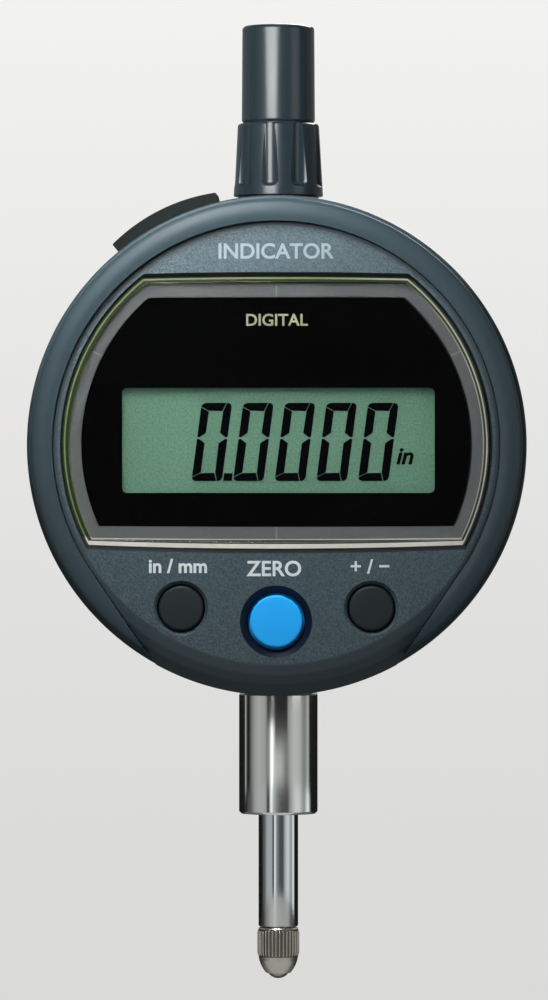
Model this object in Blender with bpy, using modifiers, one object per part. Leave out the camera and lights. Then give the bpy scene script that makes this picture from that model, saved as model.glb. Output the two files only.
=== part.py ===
"""Digital dial indicator with a 3/8 inch stem, as an assembly of separate named pieces.

The origin is on the spindle's axis, half way along the stem that a stand clamps. +Z runs up the spindle
and the face looks along -Y. All sizes and places below are in millimetres, measured from the centre of
the dial, and the helpers turn them into metres. In a piece that faces the user, "height" is the distance
in front of the spindle's axis, so it is -Y.
"""

import math

import bmesh
import bpy
from mathutils import Matrix, Vector

MM = 0.001
FRONT = (math.pi / 2, 0.0, 0.0)  # turns a piece's own +Z to the user, and its own +Y up

# Driving dimensions
DIAL_Z = 37.5  # dial centre above the middle of the stem
CASE_R = 30.0
CASE_INNER_R = 28.2
CASE_FRONT = 8.15
FLOOR_INNER = -4.6  # the case's rear floor, front and back faces
FLOOR_OUTER = -6.0
BACK_PLANE = -7.6  # 0.300 inch behind the stem's axis
FLOOR_OPENING_R = 17.0
BACK_COVER_R = 28.0
FACE_FRONT = 9.6
FACE_BACK = 8.2
RING_OUTER_R = 29.45
RING_INNER_R = 26.8
RING_CREST = 10.9
CHIN_R = 30.05
CHIN_ANGLE = math.radians(34.0)  # below the horizontal, where the raised ring turns off to the rim
GAP = 0.1  # between fixed pieces that touch on the real object

STEM_R = 4.7625
STEM_END = -44.6
STEM_TOP = -24.9
STEM_FLANGE_R = 5.3
STEM_BORE_R = 3.4
SPINDLE_R = 2.4
BUSH_BORE_R = 2.45
SPINDLE_TOP = 36.0
SPINDLE_END = -58.3
BALL_R = 1.5
BALL_Z = -63.1
BUSH_TOP = 35.5
UPPER_BUSH_R = 3.4
UPPER_BUSH_END = 22.1

CAP_TOP = 50.85
CAP_STEP = 39.0
CAP_BOTTOM = 30.2
CAP_FLUTES = 9
CAP_FLUTE_START = math.radians(-99.9)  # the flute beside the front, measured from +X
CAP_FLUTE_R = 1.6
CAP_FLUTE_OFFSET = 6.39  # from the cap's axis to each flute's own
CAP_FLUTE_END = 31.2

LCD_Z = 0.55
LCD_WINDOW = (37.9, 12.65)
BOARD_FRONT = 4.7
BOARD_BACK = 3.7
BOARD_R = 26.4
DETECTOR_BACK = 0.7
BOARD_POSTS = [(-21.0, 13.0), (21.0, 13.0), (-21.5, -9.0), (21.5, -9.0)]
DETECTOR_POSTS = [(-18.5, -4.0), (-18.5, 8.0)]
BACK_SCREWS = [(sx * 15.9, sz * 15.9) for sx in (-1, 1) for sz in (-1, 1)]

SIDE_BUTTON = {"radius": 2.71, "front": 9.7, "hole": 2.9, "sink": 3.3, "sink_depth": 0.5, "flange": 3.5}
MAIN_BUTTON = {"radius": 3.18, "front": 9.55, "hole": 3.4, "sink": 4.33, "sink_depth": 0.95, "flange": 4.0}
BUTTONS = {
    "unit_button": (-11.4, -19.55, SIDE_BUTTON),
    "origin_button": (0.0, -21.15, MAIN_BUTTON),
    "sign_button": (11.4, -19.55, SIDE_BUTTON),
}
PLUNGER_R = 1.0
PLUNGER_END = 6.9

CONNECTOR_TILT = math.radians(-26.5)  # from straight up towards the left, seen from the front
CONNECTOR_Y = -1.1  # middle of the port along Y
SOCKET_HALF = (5.3, 2.5)
SOCKET_ROOM_HALF = (4.7, 1.7)
SOCKET_BOTTOM = 24.5
SOCKET_TOP = 29.4
COVER_HALF_ANGLE = math.radians(13.0)
COVER_R = 31.7
COVER_DROP = 0.35  # how much lower the cover's ends are than its middle

HOLDER_TOP = -9.0
HOLDER_BOTTOM = -17.0
SCALE_TOP = 6.5  # stays below the data port when the spindle is pushed right up
SCALE_LEFT = -15.0
SCALE_RIGHT = -6.5
SCALE_Y = (-0.2, 0.5)
ARM_Y = (0.6, 1.8)
PIN_Z = -13.0
CLAMP_SCREW_Z = -10.6
PIN_R = 0.75
RAIL_X = (6.4, 10.2)
LUG_HALF = 3.175
LUG_HOLE_R = 3.2
LUG_HOLE_Y = 15.2
LUG_R = 6.0

LARGE_STEPS = 64
SMALL_STEPS = 32
SCREW_STEPS = 12

MATERIALS = {  # colour, roughness, metallic
    "case_plastic": ((0.045, 0.065, 0.078), 0.45, 0.0),
    "face_plastic": ((0.075, 0.105, 0.12), 0.55, 0.0),
    "lens_clear": ((0.8, 0.85, 0.8), 0.05, 0.0),
    "solar_film": ((0.16, 0.16, 0.18), 0.3, 0.0),
    "mask_black": ((0.003, 0.003, 0.003), 0.3, 0.0),
    "lcd_glass": ((0.2, 0.36, 0.27), 0.35, 0.0),
    "frame_plastic": ((0.02, 0.02, 0.022), 0.6, 0.0),
    "board_green": ((0.02, 0.12, 0.05), 0.5, 0.0),
    "chip_black": ((0.012, 0.012, 0.013), 0.5, 0.0),
    "gold_film": ((0.75, 0.5, 0.12), 0.3, 1.0),
    "rubber_black": ((0.012, 0.013, 0.013), 0.8, 0.0),
    "button_charcoal": ((0.016, 0.021, 0.024), 0.6, 0.0),
    "button_blue": ((0.02, 0.33, 0.9), 0.45, 0.0),
    "polished_steel": ((0.62, 0.62, 0.6), 0.15, 1.0),
    "knurled_steel": ((0.4, 0.39, 0.35), 0.35, 1.0),
    "carbide": ((0.25, 0.25, 0.25), 0.15, 1.0),
    "bush_bronze": ((0.5, 0.33, 0.14), 0.35, 1.0),
    "holder_aluminium": ((0.6, 0.61, 0.62), 0.4, 1.0),
    "screw_steel": ((0.3, 0.3, 0.31), 0.3, 1.0),
}


def clear_scene():
    for obj in list(bpy.data.objects):
        bpy.data.objects.remove(obj, do_unlink=True)


def make_materials():
    for name, (colour, roughness, metallic) in MATERIALS.items():
        mat = bpy.data.materials.new(name)
        mat.use_nodes = True
        shader = mat.node_tree.nodes["Principled BSDF"]
        shader.inputs["Base Color"].default_value = (*colour, 1.0)
        shader.inputs["Roughness"].default_value = roughness
        shader.inputs["Metallic"].default_value = metallic
        if name == "lens_clear":
            shader.inputs["Transmission Weight"].default_value = 1.0


def make_collection(name, hidden=False):
    made = bpy.data.collections.new(name)
    bpy.context.scene.collection.children.link(made)
    made.hide_render = hidden
    return made


def make_empty(name, rotation=(0.0, 0.0, 0.0), parent=None, at=(0.0, 0.0, 0.0)):
    empty = bpy.data.objects.new(name, None)
    PARTS.objects.link(empty)
    empty.rotation_euler = rotation
    empty.location = Vector(at) * MM
    empty.parent = parent
    return empty


def place(name, mesh, mat, at=(0.0, 0.0, 0.0), rotation=(0.0, 0.0, 0.0), parent=None):
    """A part when it has a material, and a hidden cutter or addition when it has none."""
    obj = bpy.data.objects.new(name, mesh)
    obj.location = Vector(at) * MM
    obj.rotation_euler = rotation
    obj.parent = parent or DIAL
    if mat is None:
        CUTTERS.objects.link(obj)
        obj.hide_render = True
        obj.display_type = "WIRE"
    else:
        PARTS.objects.link(obj)
        mesh.materials.append(bpy.data.materials[mat])
    return obj


def mesh_from(bm, name):
    bmesh.ops.scale(bm, vec=(MM, MM, MM), verts=bm.verts)
    mesh = bpy.data.meshes.new(name)
    bm.to_mesh(mesh)
    bm.free()
    return mesh


def turned(name, profile, mat, steps=SMALL_STEPS, closed=False, **where):
    """(radius, height) points swept round the piece's own Z axis. They run down the outer side."""
    bm = bmesh.new()
    verts = [bm.verts.new((r, 0.0, h)) for r, h in profile]
    for a, b in zip(verts, verts[1:]):
        bm.edges.new((a, b))
    if closed:
        bm.edges.new((verts[-1], verts[0]))
    obj = place(name, mesh_from(bm, name), mat, **where)
    screw = obj.modifiers.new("turn", "SCREW")
    screw.axis = "Z"
    screw.steps = screw.render_steps = steps
    screw.use_merge_vertices = True
    screw.merge_threshold = 0.00001
    screw.use_smooth_shade = True
    return obj


def rod(name, radius, low, high, mat, steps=SMALL_STEPS, **where):
    return turned(name, [(0, high), (radius, high), (radius, low), (0, low)], mat, steps, **where)


def tube(name, outer, inner, low, high, mat, steps=SMALL_STEPS, **where):
    profile = [(outer, high), (outer, low), (inner, low), (inner, high)]
    return turned(name, profile, mat, steps, closed=True, **where)


def box(name, low, high, mat, **where):
    """A box between two corners, in the place's own axes."""
    bm = bmesh.new()
    bmesh.ops.create_cube(bm, size=1.0)
    size = [b - a for a, b in zip(low, high)]
    middle = [(a + b) / 2 for a, b in zip(low, high)]
    bmesh.ops.scale(bm, vec=size, verts=bm.verts)
    bmesh.ops.translate(bm, vec=middle, verts=bm.verts)
    return place(name, mesh_from(bm, name), mat, **where)


def plate(name, outlines, low, high, mat, rotation=FRONT, **where):
    """A flat sheet between two heights. The first outline is its edge and the others are its holes."""
    curve = bpy.data.curves.new(name, "CURVE")
    curve.dimensions = "2D"
    curve.fill_mode = "BOTH"
    curve.extrude = (high - low) / 2 * MM
    for outline in outlines:
        spline = curve.splines.new("POLY")
        spline.points.add(len(outline) - 1)
        for point, (x, y) in zip(spline.points, outline):
            point.co = (x * MM, y * MM, 0.0, 1.0)
        spline.use_cyclic_u = True
    drawn = bpy.data.objects.new(name + "_outline", curve)
    PARTS.objects.link(drawn)
    bpy.context.view_layer.update()
    mesh = bpy.data.meshes.new_from_object(drawn.evaluated_get(bpy.context.evaluated_depsgraph_get()))
    bpy.data.objects.remove(drawn)
    bm = bmesh.new()
    bm.from_mesh(mesh)
    bmesh.ops.remove_doubles(bm, verts=bm.verts, dist=0.000001)
    bmesh.ops.translate(bm, vec=(0, 0, (low + high) / 2 * MM), verts=bm.verts)
    bmesh.ops.recalc_face_normals(bm, faces=bm.faces)
    bm.to_mesh(mesh)
    bm.free()
    mesh.name = name
    mesh.materials.clear()
    return place(name, mesh, mat, rotation=rotation, **where)


def combine(obj, operation, *others):
    """Boolean of obj with one or several hidden pieces, which go in a collection of their own."""
    group = bpy.data.collections.new(f"{obj.name}_{operation.lower()}")
    CUTTERS.children.link(group)
    for other in others:
        CUTTERS.objects.unlink(other)
        group.objects.link(other)
    boolean = obj.modifiers.new(operation.lower(), "BOOLEAN")
    boolean.operation = operation
    if len(others) == 1:
        boolean.object = others[0]
    else:
        boolean.operand_type = "COLLECTION"
        boolean.collection = group


def arc(radius, start, end, steps, centre=(0.0, 0.0)):
    return [
        (
            centre[0] + radius * math.cos(start + (end - start) * i / steps),
            centre[1] + radius * math.sin(start + (end - start) * i / steps),
        )
        for i in range(steps + 1)
    ]


def window_outline(radius, bottom, top, bow=(0.0, 0.0), steps=18):
    """A circle cut off flat above and below. The flat sides can bow outwards a little."""
    high, low = math.asin(top / radius), math.asin(bottom / radius)
    points = arc(radius, low, high, steps)
    if bow[1]:
        points.append((0.0, top + bow[1]))
    points += arc(radius, math.pi - high, math.pi - low, steps)
    if bow[0]:
        points.append((0.0, bottom - bow[0]))
    return points


def flat_disc_outline(radius, bottom, top, steps=20):
    return window_outline(radius, bottom, top, steps=steps)


def shield_outline(radius, reach=32.0, steps=56):
    """The face's outline: a circle whose sides run off at a tangent below, past the rim."""
    start, end = -CHIN_ANGLE, math.pi + CHIN_ANGLE
    run = math.sqrt(reach**2 - radius**2)
    points = arc(radius, start, end, steps)
    x, z = points[-1]
    left = (x + run * math.sin(CHIN_ANGLE), z - run * math.cos(CHIN_ANGLE))
    return points + [left, (0.0, -reach - 2.0), (-left[0], left[1])]


def rectangle(width, height, centre=(0.0, 0.0)):
    x, z = centre
    return [
        (x + sx * width / 2, z + sz * height / 2)
        for sx, sz in ((-1, -1), (1, -1), (1, 1), (-1, 1))
    ]


def front_at(x, z):
    """Where a piece goes whose own axis faces the user, over the point (x, z) of the dial."""
    return {"at": (x, 0.0, z), "rotation": FRONT}


# Housing


def case_additions():
    """The bosses, posts and seat that are moulded in one with the case."""
    yield box("stem_boss", (-7.5, -6.2, -28.9), (7.5, 5.0, -24.4), None)
    yield box("bush_boss", (-5.2, -6.0, 22.0), (5.2, 5.0, 29.3), None)
    yield rod("cap_seat", 4.9, 28.5, CAP_BOTTOM - GAP, None, 24)
    for i, (x, z) in enumerate(BOARD_POSTS):
        yield rod(f"board_post_{i}", 2.0, -5.0, BOARD_BACK - GAP, None, 14, **front_at(x, z))
    for i, (x, z) in enumerate(DETECTOR_POSTS):
        yield rod(f"detector_post_{i}", 1.6, -5.0, DETECTOR_BACK - GAP, None, 14, **front_at(x, z))
    for i, (x, z) in enumerate(BACK_SCREWS):
        yield rod(f"back_boss_{i}", 2.5, -5.0, -2.0, None, 14, **front_at(x, z))


def case_cutters():
    profile = [(0, -24.0), (5.4, -24.0), (5.4, -26.5), (4.82, -26.5), (4.82, -32.0), (0, -32.0)]
    yield turned("stem_hole", profile, None)
    yield rod("bush_hole", UPPER_BUSH_R + GAP, 21.0, 33.0, None)
    half = (SOCKET_HALF[0] + 0.2, SOCKET_HALF[1] + 0.2)
    low, high = (-half[0], CONNECTOR_Y - half[1], 24.0), (half[0], CONNECTOR_Y + half[1], 33.0)
    yield box("port_hole", low, high, None, parent=PORT)
    for i, (x, z) in enumerate(BOARD_POSTS):
        yield rod(f"board_pilot_{i}", 1.05, -1.0, 4.5, None, 12, **front_at(x, z))
    for i, (x, z) in enumerate(DETECTOR_POSTS):
        yield rod(f"detector_pilot_{i}", 0.85, -3.0, 1.5, None, 12, **front_at(x, z))
    for i, (x, z) in enumerate(BACK_SCREWS):
        yield rod(f"back_pilot_{i}", 1.05, -7.0, -1.5, None, 12, **front_at(x, z))


def make_case():
    profile = [
        (29.5, CASE_FRONT),
        (29.85, CASE_FRONT - 0.15),
        (CASE_R, CASE_FRONT - 0.5),
        (CASE_R, -5.0),
        (29.7, -6.2),
        (28.9, -7.0),
        (28.1, -7.0),
        (28.1, FLOOR_OUTER),
        (FLOOR_OPENING_R, FLOOR_OUTER),
        (FLOOR_OPENING_R, FLOOR_INNER),
        (CASE_INNER_R, FLOOR_INNER),
        (CASE_INNER_R, CASE_FRONT),
    ]
    case = turned("case_body", profile, "case_plastic", LARGE_STEPS, closed=True, rotation=FRONT)
    combine(case, "UNION", *case_additions())
    combine(case, "DIFFERENCE", *case_cutters())


def make_bezel_ring():
    """The raised ring round the face, open at the bottom where the face runs out to the rim."""
    profile = [
        (27.6, RING_CREST - 0.04),
        (28.4, RING_CREST - 0.22),
        (29.15, RING_CREST - 0.54),
        (29.4, RING_CREST - 0.8),
        (RING_OUTER_R, RING_CREST - 1.1),
        (RING_OUTER_R, CASE_FRONT + GAP),
        (CASE_INNER_R - GAP, CASE_FRONT + GAP),
        (CASE_INNER_R - GAP, 6.6),
        (RING_INNER_R, 6.6),
        (RING_INNER_R, RING_CREST - 0.1),
        (26.9, RING_CREST),
    ]
    ring = turned("bezel_ring", profile, "case_plastic", LARGE_STEPS, closed=True, rotation=FRONT)
    combine(ring, "DIFFERENCE", plate("face_room", [shield_outline(RING_INNER_R)], 5.0, 12.0, None))


def button_hole(name, x, z, button):
    front, deep = FACE_FRONT + 0.5, FACE_BACK - 0.5
    step = FACE_FRONT - button["sink_depth"]
    slope = (button["sink"] - button["hole"]) / button["sink_depth"]
    wide = button["sink"] + slope * 0.5
    profile = [(0, front), (wide, front), (button["hole"], step), (button["hole"], deep), (0, deep)]
    return turned(name + "_hole", profile, None, 28, **front_at(x, z))


def make_face_panel():
    """The face, with the display's window, three button holes and a chin that slopes back to the rim."""
    profile = [
        (0, FACE_FRONT),
        (26.5, FACE_FRONT),
        (27.6, 9.5),
        (28.7, 9.25),
        (29.6, 8.85),
        (CHIN_R, 8.45),
        (CHIN_R, FACE_BACK + 0.05),
        (0, FACE_BACK + 0.05),
    ]
    face = turned("face_panel", profile, "face_plastic", LARGE_STEPS, rotation=FRONT)
    combine(face, "INTERSECT", plate("face_edge", [shield_outline(RING_INNER_R - GAP)], 7.0, 11.0, None))
    window = plate("window_room", [window_outline(26.05, -12.3, 20.6, bow=(0.5, 0.2))], 7.0, 11.0, None)
    holes = [button_hole(name, x, z, button) for name, (x, z, button) in BUTTONS.items()]
    combine(face, "DIFFERENCE", window, *holes)


def make_back_cover():
    """The flat rear cover with the lug that a stand's bolt goes through."""
    front = FLOOR_OUTER - GAP
    cover = rod("back_cover", BACK_COVER_R, BACK_PLANE, front, "case_plastic", LARGE_STEPS, rotation=FRONT)
    side = math.asin(LUG_R / 8.5)
    back = -BACK_PLANE
    lug = [(back - 0.7, -8.5), (back + 0.4, -8.5)]
    lug += arc(LUG_R, -math.pi / 2 + side / 2, math.pi / 2 - side / 2, 14, (LUG_HOLE_Y, 0.0))
    lug += [(back + 0.4, 8.5), (back - 0.7, 8.5)]
    along_x = Matrix(((0, 0, 1), (1, 0, 0), (0, 1, 0))).to_euler()  # own X along +Y, own Y along +Z
    half = LUG_HALF
    solid = plate("lug", [lug], -half, half, None, rotation=along_x)
    hole = plate(
        "lug_hole", [arc(LUG_HOLE_R, 0, 2 * math.pi * 23 / 24, 23, (LUG_HOLE_Y, 0.0))],
        -half - 1, half + 1, None, rotation=along_x,
    )
    combine(cover, "UNION", solid)
    sinks = [
        turned(
            f"cover_sink_{i}",
            [(0, -5.5), (1.1, -5.5), (1.1, -6.6), (2.1, -6.6), (2.1, -8.5), (0, -8.5)],
            None, 20, **front_at(x, z),
        )
        for i, (x, z) in enumerate(BACK_SCREWS)
    ]
    combine(cover, "DIFFERENCE", hole, *sinks)


def make_screw(name, x, z, head_r, shank_r, head_top, head_bottom, end):
    """A screw that faces the user, or faces back when its head is the lower end."""
    if head_top > head_bottom:
        profile = [
            (0, head_top), (head_r - 0.3, head_top), (head_r, head_top - 0.3),
            (head_r, head_bottom), (shank_r, head_bottom), (shank_r, end), (0, end),
        ]
    else:
        profile = [
            (0, end), (shank_r, end), (shank_r, head_bottom), (head_r, head_bottom),
            (head_r, head_top + 0.3), (head_r - 0.3, head_top), (0, head_top),
        ]
    turned(name, profile, "screw_steel", SCREW_STEPS, **front_at(x, z))


def make_screws():
    for i, (x, z) in enumerate(BOARD_POSTS):
        make_screw(f"board_screw_{i + 1}", x, z, 1.9, 0.95, 5.6, BOARD_FRONT + GAP / 2, 0.0)
    for i, (x, z) in enumerate(DETECTOR_POSTS):
        make_screw(f"detector_screw_{i + 1}", x, z, 1.4, 0.75, 2.2, 1.55, -2.5)
    for i, (x, z) in enumerate(BACK_SCREWS):
        make_screw(f"back_screw_{i + 1}", x, z, 1.9, 0.95, -7.5, -6.7, -2.4)


def make_back_gasket():
    low, high = FLOOR_OUTER + 0.05, FLOOR_INNER - 0.3
    tube("back_gasket", FLOOR_OPENING_R - 0.2, 15.9, low, high, "rubber_black", 48, rotation=FRONT)


# Display


def make_display():
    plate("lens", [window_outline(25.7, -12.0, 19.85)], 8.25, 9.35, "lens_clear")
    solar = [window_outline(24.9, -11.3, 19.3), window_outline(23.4, -9.72, 17.65)]
    plate("solar_cell", solar, 7.6, 8.0, "solar_film")
    mask = [window_outline(23.3, -9.62, 17.55), rectangle(*LCD_WINDOW, (0.0, LCD_Z))]
    plate("display_mask", mask, 7.7, 8.0, "mask_black")
    frame_outlines = [flat_disc_outline(26.4, -13.5, 21.3), rectangle(41.2, 16.4, (0.0, LCD_Z))]
    frame = plate("display_frame", frame_outlines, 5.9, 8.1, "frame_plastic")
    combine(frame, "DIFFERENCE", plate("film_room", [window_outline(25.0, -11.4, 19.4)], 7.5, 9.0, None))
    plate("lcd_panel", [rectangle(40.0, 15.8, (0.0, LCD_Z))], 6.0, 7.4, "lcd_glass")
    for name, side in (("contact_strip_lower", -1), ("contact_strip_upper", 1)):
        plate(name, [rectangle(36.0, 1.4, (0.0, LCD_Z + side * 6.9))], 4.8, 5.85, "rubber_black")


# Electronics


def make_electronics():
    holes = [arc(1.15, 0, 2 * math.pi * 11 / 12, 11, spot) for spot in BOARD_POSTS]
    outline = flat_disc_outline(BOARD_R, -24.0, 21.4)
    plate("main_board", [outline, *holes], BOARD_BACK, BOARD_FRONT, "board_green")
    plate("processor", [rectangle(7.0, 7.0, (-12.0, -9.0))], 2.6, BOARD_BACK - 0.05, "chip_black")
    rod("storage_capacitor", 4.75, -0.9, BOARD_BACK - 0.05, "holder_aluminium", 32, **front_at(15.6, 5.0))
    outlines = [rectangle(15.0, 18.0, (-13.0, 2.0))]
    outlines += [arc(0.9, 0, 2 * math.pi * 11 / 12, 11, spot) for spot in DETECTOR_POSTS]
    plate("detector_board", outlines, DETECTOR_BACK, DETECTOR_BACK + 0.8, "board_green")
    plate("flex_cable", [rectangle(4.0, 0.3, (-12.0, 11.3))], 0.8, BOARD_BACK - 0.05, "gold_film")


def make_switch(name, x, z):
    base = BOARD_FRONT + 0.05
    switch = plate(name, [rectangle(4.4, 4.4, (x, z))], base, 5.7, "chip_black")
    combine(switch, "UNION", rod(name + "_stud", PLUNGER_R, 5.2, 6.2, None, 20, **front_at(x, z)))


def make_button(name, x, z, button, mat):
    r, front, flange = button["radius"], button["front"], button["flange"]
    back = FACE_BACK - GAP
    profile = [
        (0, front), (r - 0.25, front), (r - 0.07, front - 0.08), (r, front - 0.3),
        (r, back), (flange, back), (flange, back - 0.4),
        (PLUNGER_R, back - 0.4), (PLUNGER_R, PLUNGER_END), (0, PLUNGER_END),
    ]
    turned(name, profile, mat, 28, **front_at(x, z))


def make_buttons():
    for name, (x, z, button) in BUTTONS.items():
        mat = "button_blue" if name == "origin_button" else "button_charcoal"
        make_button(name, x, z, button, mat)
        make_switch(name.replace("button", "switch"), x, z)
    seal = [flat_disc_outline(26.2, -24.2, -15.4, steps=8)]
    seal += [arc(1.4, 0, 2 * math.pi * 15 / 16, 15, (x, z)) for x, z, _ in BUTTONS.values()]
    plate("button_seal", seal, 5.8, 6.5, "rubber_black")


# Data port


def make_port():
    y = CONNECTOR_Y
    (wide, deep), (room_wide, room_deep) = SOCKET_HALF, SOCKET_ROOM_HALF
    low, high = (-wide, y - deep, SOCKET_BOTTOM), (wide, y + deep, SOCKET_TOP)
    socket = box("connector_socket", low, high, "chip_black", parent=PORT)
    low, high = (-room_wide, y - room_deep, SOCKET_BOTTOM + 2.0), (room_wide, y + room_deep, 31.0)
    combine(socket, "DIFFERENCE", box("socket_room", low, high, None, parent=PORT))
    middle, half = math.pi / 2, COVER_HALF_ANGLE
    lip = []
    for i in range(13):
        share = i / 6 - 1
        angle = middle + share * (half - 0.01)
        radius = COVER_R - COVER_DROP * share**2
        lip.append((radius * math.cos(angle), radius * math.sin(angle)))
    lip += arc(CASE_R + GAP, middle + half, middle - half, 12)
    cover = plate("connector_cover", [lip], -y - 4.0, -y + 4.0, "rubber_black", parent=PORT)
    low, high = (0.2 - room_wide, y + 0.2 - room_deep, 27.5), (room_wide - 0.2, y - 0.2 + room_deep, 31.0)
    combine(cover, "UNION", box("cover_plug", low, high, None, parent=PORT))


# Spindle and stem


def make_stem():
    profile = [
        (STEM_FLANGE_R, STEM_TOP), (STEM_FLANGE_R, -26.4), (4.7, -26.4), (4.7, -30.1),
        (STEM_R, -30.2), (STEM_R, STEM_END + 0.25), (STEM_R - 0.25, STEM_END),
        (STEM_BORE_R, STEM_END), (STEM_BORE_R, STEM_TOP),
    ]
    turned("stem", profile, "polished_steel", 40, closed=True)
    bush_r = STEM_BORE_R - 0.05
    tube("lower_bush", bush_r, BUSH_BORE_R, STEM_END + 0.3, -38.0, "bush_bronze")
    tube("middle_bush", bush_r, BUSH_BORE_R, -31.0, STEM_TOP, "bush_bronze")
    tube("upper_bush", UPPER_BUSH_R, BUSH_BORE_R, UPPER_BUSH_END, BUSH_TOP, "bush_bronze")
    tube("bumper_ring", 3.6, 2.6, STEM_TOP + GAP, -24.15, "rubber_black")


def make_spindle():
    profile = [
        (0, SPINDLE_TOP), (2.1, SPINDLE_TOP), (SPINDLE_R, SPINDLE_TOP - 0.3), (SPINDLE_R, -23.45),
        (2.1, -23.45), (2.1, -24.15), (SPINDLE_R, -24.15), (SPINDLE_R, SPINDLE_END + 0.15),
        (SPINDLE_R - 0.15, SPINDLE_END), (1.3, SPINDLE_END), (1.3, -54.0), (0, -54.0),
    ]
    turned("spindle", profile, "polished_steel")
    tube("stop_ring", 3.4, 2.2, -24.05, -23.55, "screw_steel", 28)


def make_contact_point():
    top = SPINDLE_END - GAP
    seat_r = BALL_R + 0.05
    start, end = math.asin(-0.8 / seat_r), math.pi / 2
    seat = [(r, BALL_Z + z) for r, z in arc(seat_r, start, end, 6)]
    profile = [
        (0, -54.5), (1.25, -54.5), (1.25, top), (2.3, top), (2.52, top - 0.2), (2.52, -61.4),
        (2.46, -61.9), (2.33, -62.4), (2.12, -62.95), (1.84, -63.45), (1.5, -63.92),
        *seat[:-1], (0, BALL_Z + seat_r),
    ]
    turned("contact_body", profile, "knurled_steel")
    bm = bmesh.new()
    bmesh.ops.create_uvsphere(bm, u_segments=20, v_segments=12, radius=BALL_R)
    ball = mesh_from(bm, "contact_ball")
    ball.shade_smooth()
    place("contact_ball", ball, "carbide", at=(0.0, 0.0, BALL_Z))


def make_scale():
    """The block clamped to the spindle, its arm with the measuring scale, and what stops it turning."""
    holder = box("scale_holder", (-4.4, -3.4, HOLDER_BOTTOM), (4.4, 3.9, HOLDER_TOP), "holder_aluminium")
    arm_low = (SCALE_LEFT - 0.5, ARM_Y[0], HOLDER_BOTTOM)
    combine(holder, "UNION", box("scale_arm", arm_low, (-4.0, ARM_Y[1], SCALE_TOP + 0.2), None))
    along_x = (0.0, math.pi / 2, 0.0)
    cutters = [
        rod("spindle_hole", BUSH_BORE_R, HOLDER_BOTTOM - 1.0, HOLDER_TOP + 1.0, None),
        rod("pin_hole", PIN_R + GAP, 3.0, 5.0, None, 14, at=(0.0, 0.0, PIN_Z), rotation=along_x),
        rod("clamp_hole", PIN_R + GAP, 2.0, 5.0, None, 14, at=(0.0, 0.0, CLAMP_SCREW_Z), rotation=along_x),
    ]
    combine(holder, "DIFFERENCE", *cutters)
    scale_low = (SCALE_LEFT, SCALE_Y[0], HOLDER_BOTTOM + 0.5)
    box("scale", scale_low, (SCALE_RIGHT, SCALE_Y[1], SCALE_TOP), "gold_film")
    rod("guide_pin", PIN_R, 3.1, 9.4, "screw_steel", 14, at=(0.0, 0.0, PIN_Z), rotation=along_x)
    rod("clamp_screw", PIN_R, 2.55, 4.8, "screw_steel", 14, at=(0.0, 0.0, CLAMP_SCREW_Z), rotation=along_x)
    rail_low = (RAIL_X[0], -2.4, HOLDER_BOTTOM - 0.5)
    rail = box("guide_rail", rail_low, (RAIL_X[1], -FLOOR_INNER - GAP, 3.2), "holder_aluminium")
    slot_low = (RAIL_X[0] - 0.4, -0.9, PIN_Z - 1.6)
    combine(rail, "DIFFERENCE", box("rail_slot", slot_low, (RAIL_X[1] - 0.4, 0.9, 1.2), None))


def make_return_spring():
    """A light coil round the spindle, between the clamped block and the upper bush."""
    radius, wire, turns, per_turn = 2.95, 0.2, 13, 9
    low, high = HOLDER_TOP + wire + 0.05, UPPER_BUSH_END - wire - 0.05
    curve = bpy.data.curves.new("return_spring", "CURVE")
    curve.dimensions = "3D"
    curve.bevel_depth = wire * MM
    curve.bevel_resolution = 1
    curve.use_fill_caps = True
    count = turns * per_turn + 1
    spline = curve.splines.new("POLY")
    spline.points.add(count - 1)
    for i, point in enumerate(spline.points):
        angle = 2 * math.pi * i / per_turn
        height = low + (high - low) * i / (count - 1)
        point.co = (radius * math.cos(angle) * MM, radius * math.sin(angle) * MM, height * MM, 1.0)
    obj = bpy.data.objects.new("return_spring", curve)
    curve.materials.append(bpy.data.materials["screw_steel"])
    obj.parent = DIAL
    PARTS.objects.link(obj)


def make_spindle_cap():
    """The cap over the spindle's top end, fluted below for unscrewing it."""
    profile = [
        (0, CAP_TOP), (3.75, CAP_TOP), (4.1, CAP_TOP - 0.1), (4.3, CAP_TOP - 0.35), (4.36, CAP_TOP - 0.7),
        (4.44, CAP_STEP + 0.5), (4.3, CAP_STEP + 0.1), (4.15, CAP_STEP), (4.55, CAP_STEP - 0.05),
        (4.85, CAP_STEP - 0.2), (4.94, CAP_STEP - 0.5), (5.42, CAP_BOTTOM + 0.1), (5.35, CAP_BOTTOM),
        (3.55, CAP_BOTTOM), (3.55, 37.0), (2.9, 37.6), (2.9, 49.4), (0, 49.4),
    ]
    cap = turned("spindle_cap", profile, "case_plastic", 40)
    cutters = []
    for i in range(CAP_FLUTES):
        angle = CAP_FLUTE_START + 2 * math.pi * i / CAP_FLUTES
        spot = (CAP_FLUTE_OFFSET * math.cos(angle), CAP_FLUTE_OFFSET * math.sin(angle), 0.0)
        cutters.append(rod(f"flute_{i}", CAP_FLUTE_R, CAP_FLUTE_END, CAP_STEP + 0.02, None, 14, at=spot))
    combine(cap, "DIFFERENCE", *cutters)


clear_scene()
PARTS = make_collection("dial_indicator")
CUTTERS = make_collection("cutters", hidden=True)
make_materials()
DIAL = make_empty("dial_centre", at=(0.0, 0.0, DIAL_Z))
PORT = make_empty("port_axis", rotation=(0.0, CONNECTOR_TILT, 0.0), parent=DIAL)
bpy.context.view_layer.update()

make_case()
make_bezel_ring()
make_face_panel()
make_back_cover()
make_back_gasket()
make_screws()
make_display()
make_electronics()
make_buttons()
make_port()
make_stem()
make_spindle()
make_contact_point()
make_scale()
make_return_spring()
make_spindle_cap()
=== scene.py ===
import math

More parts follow.
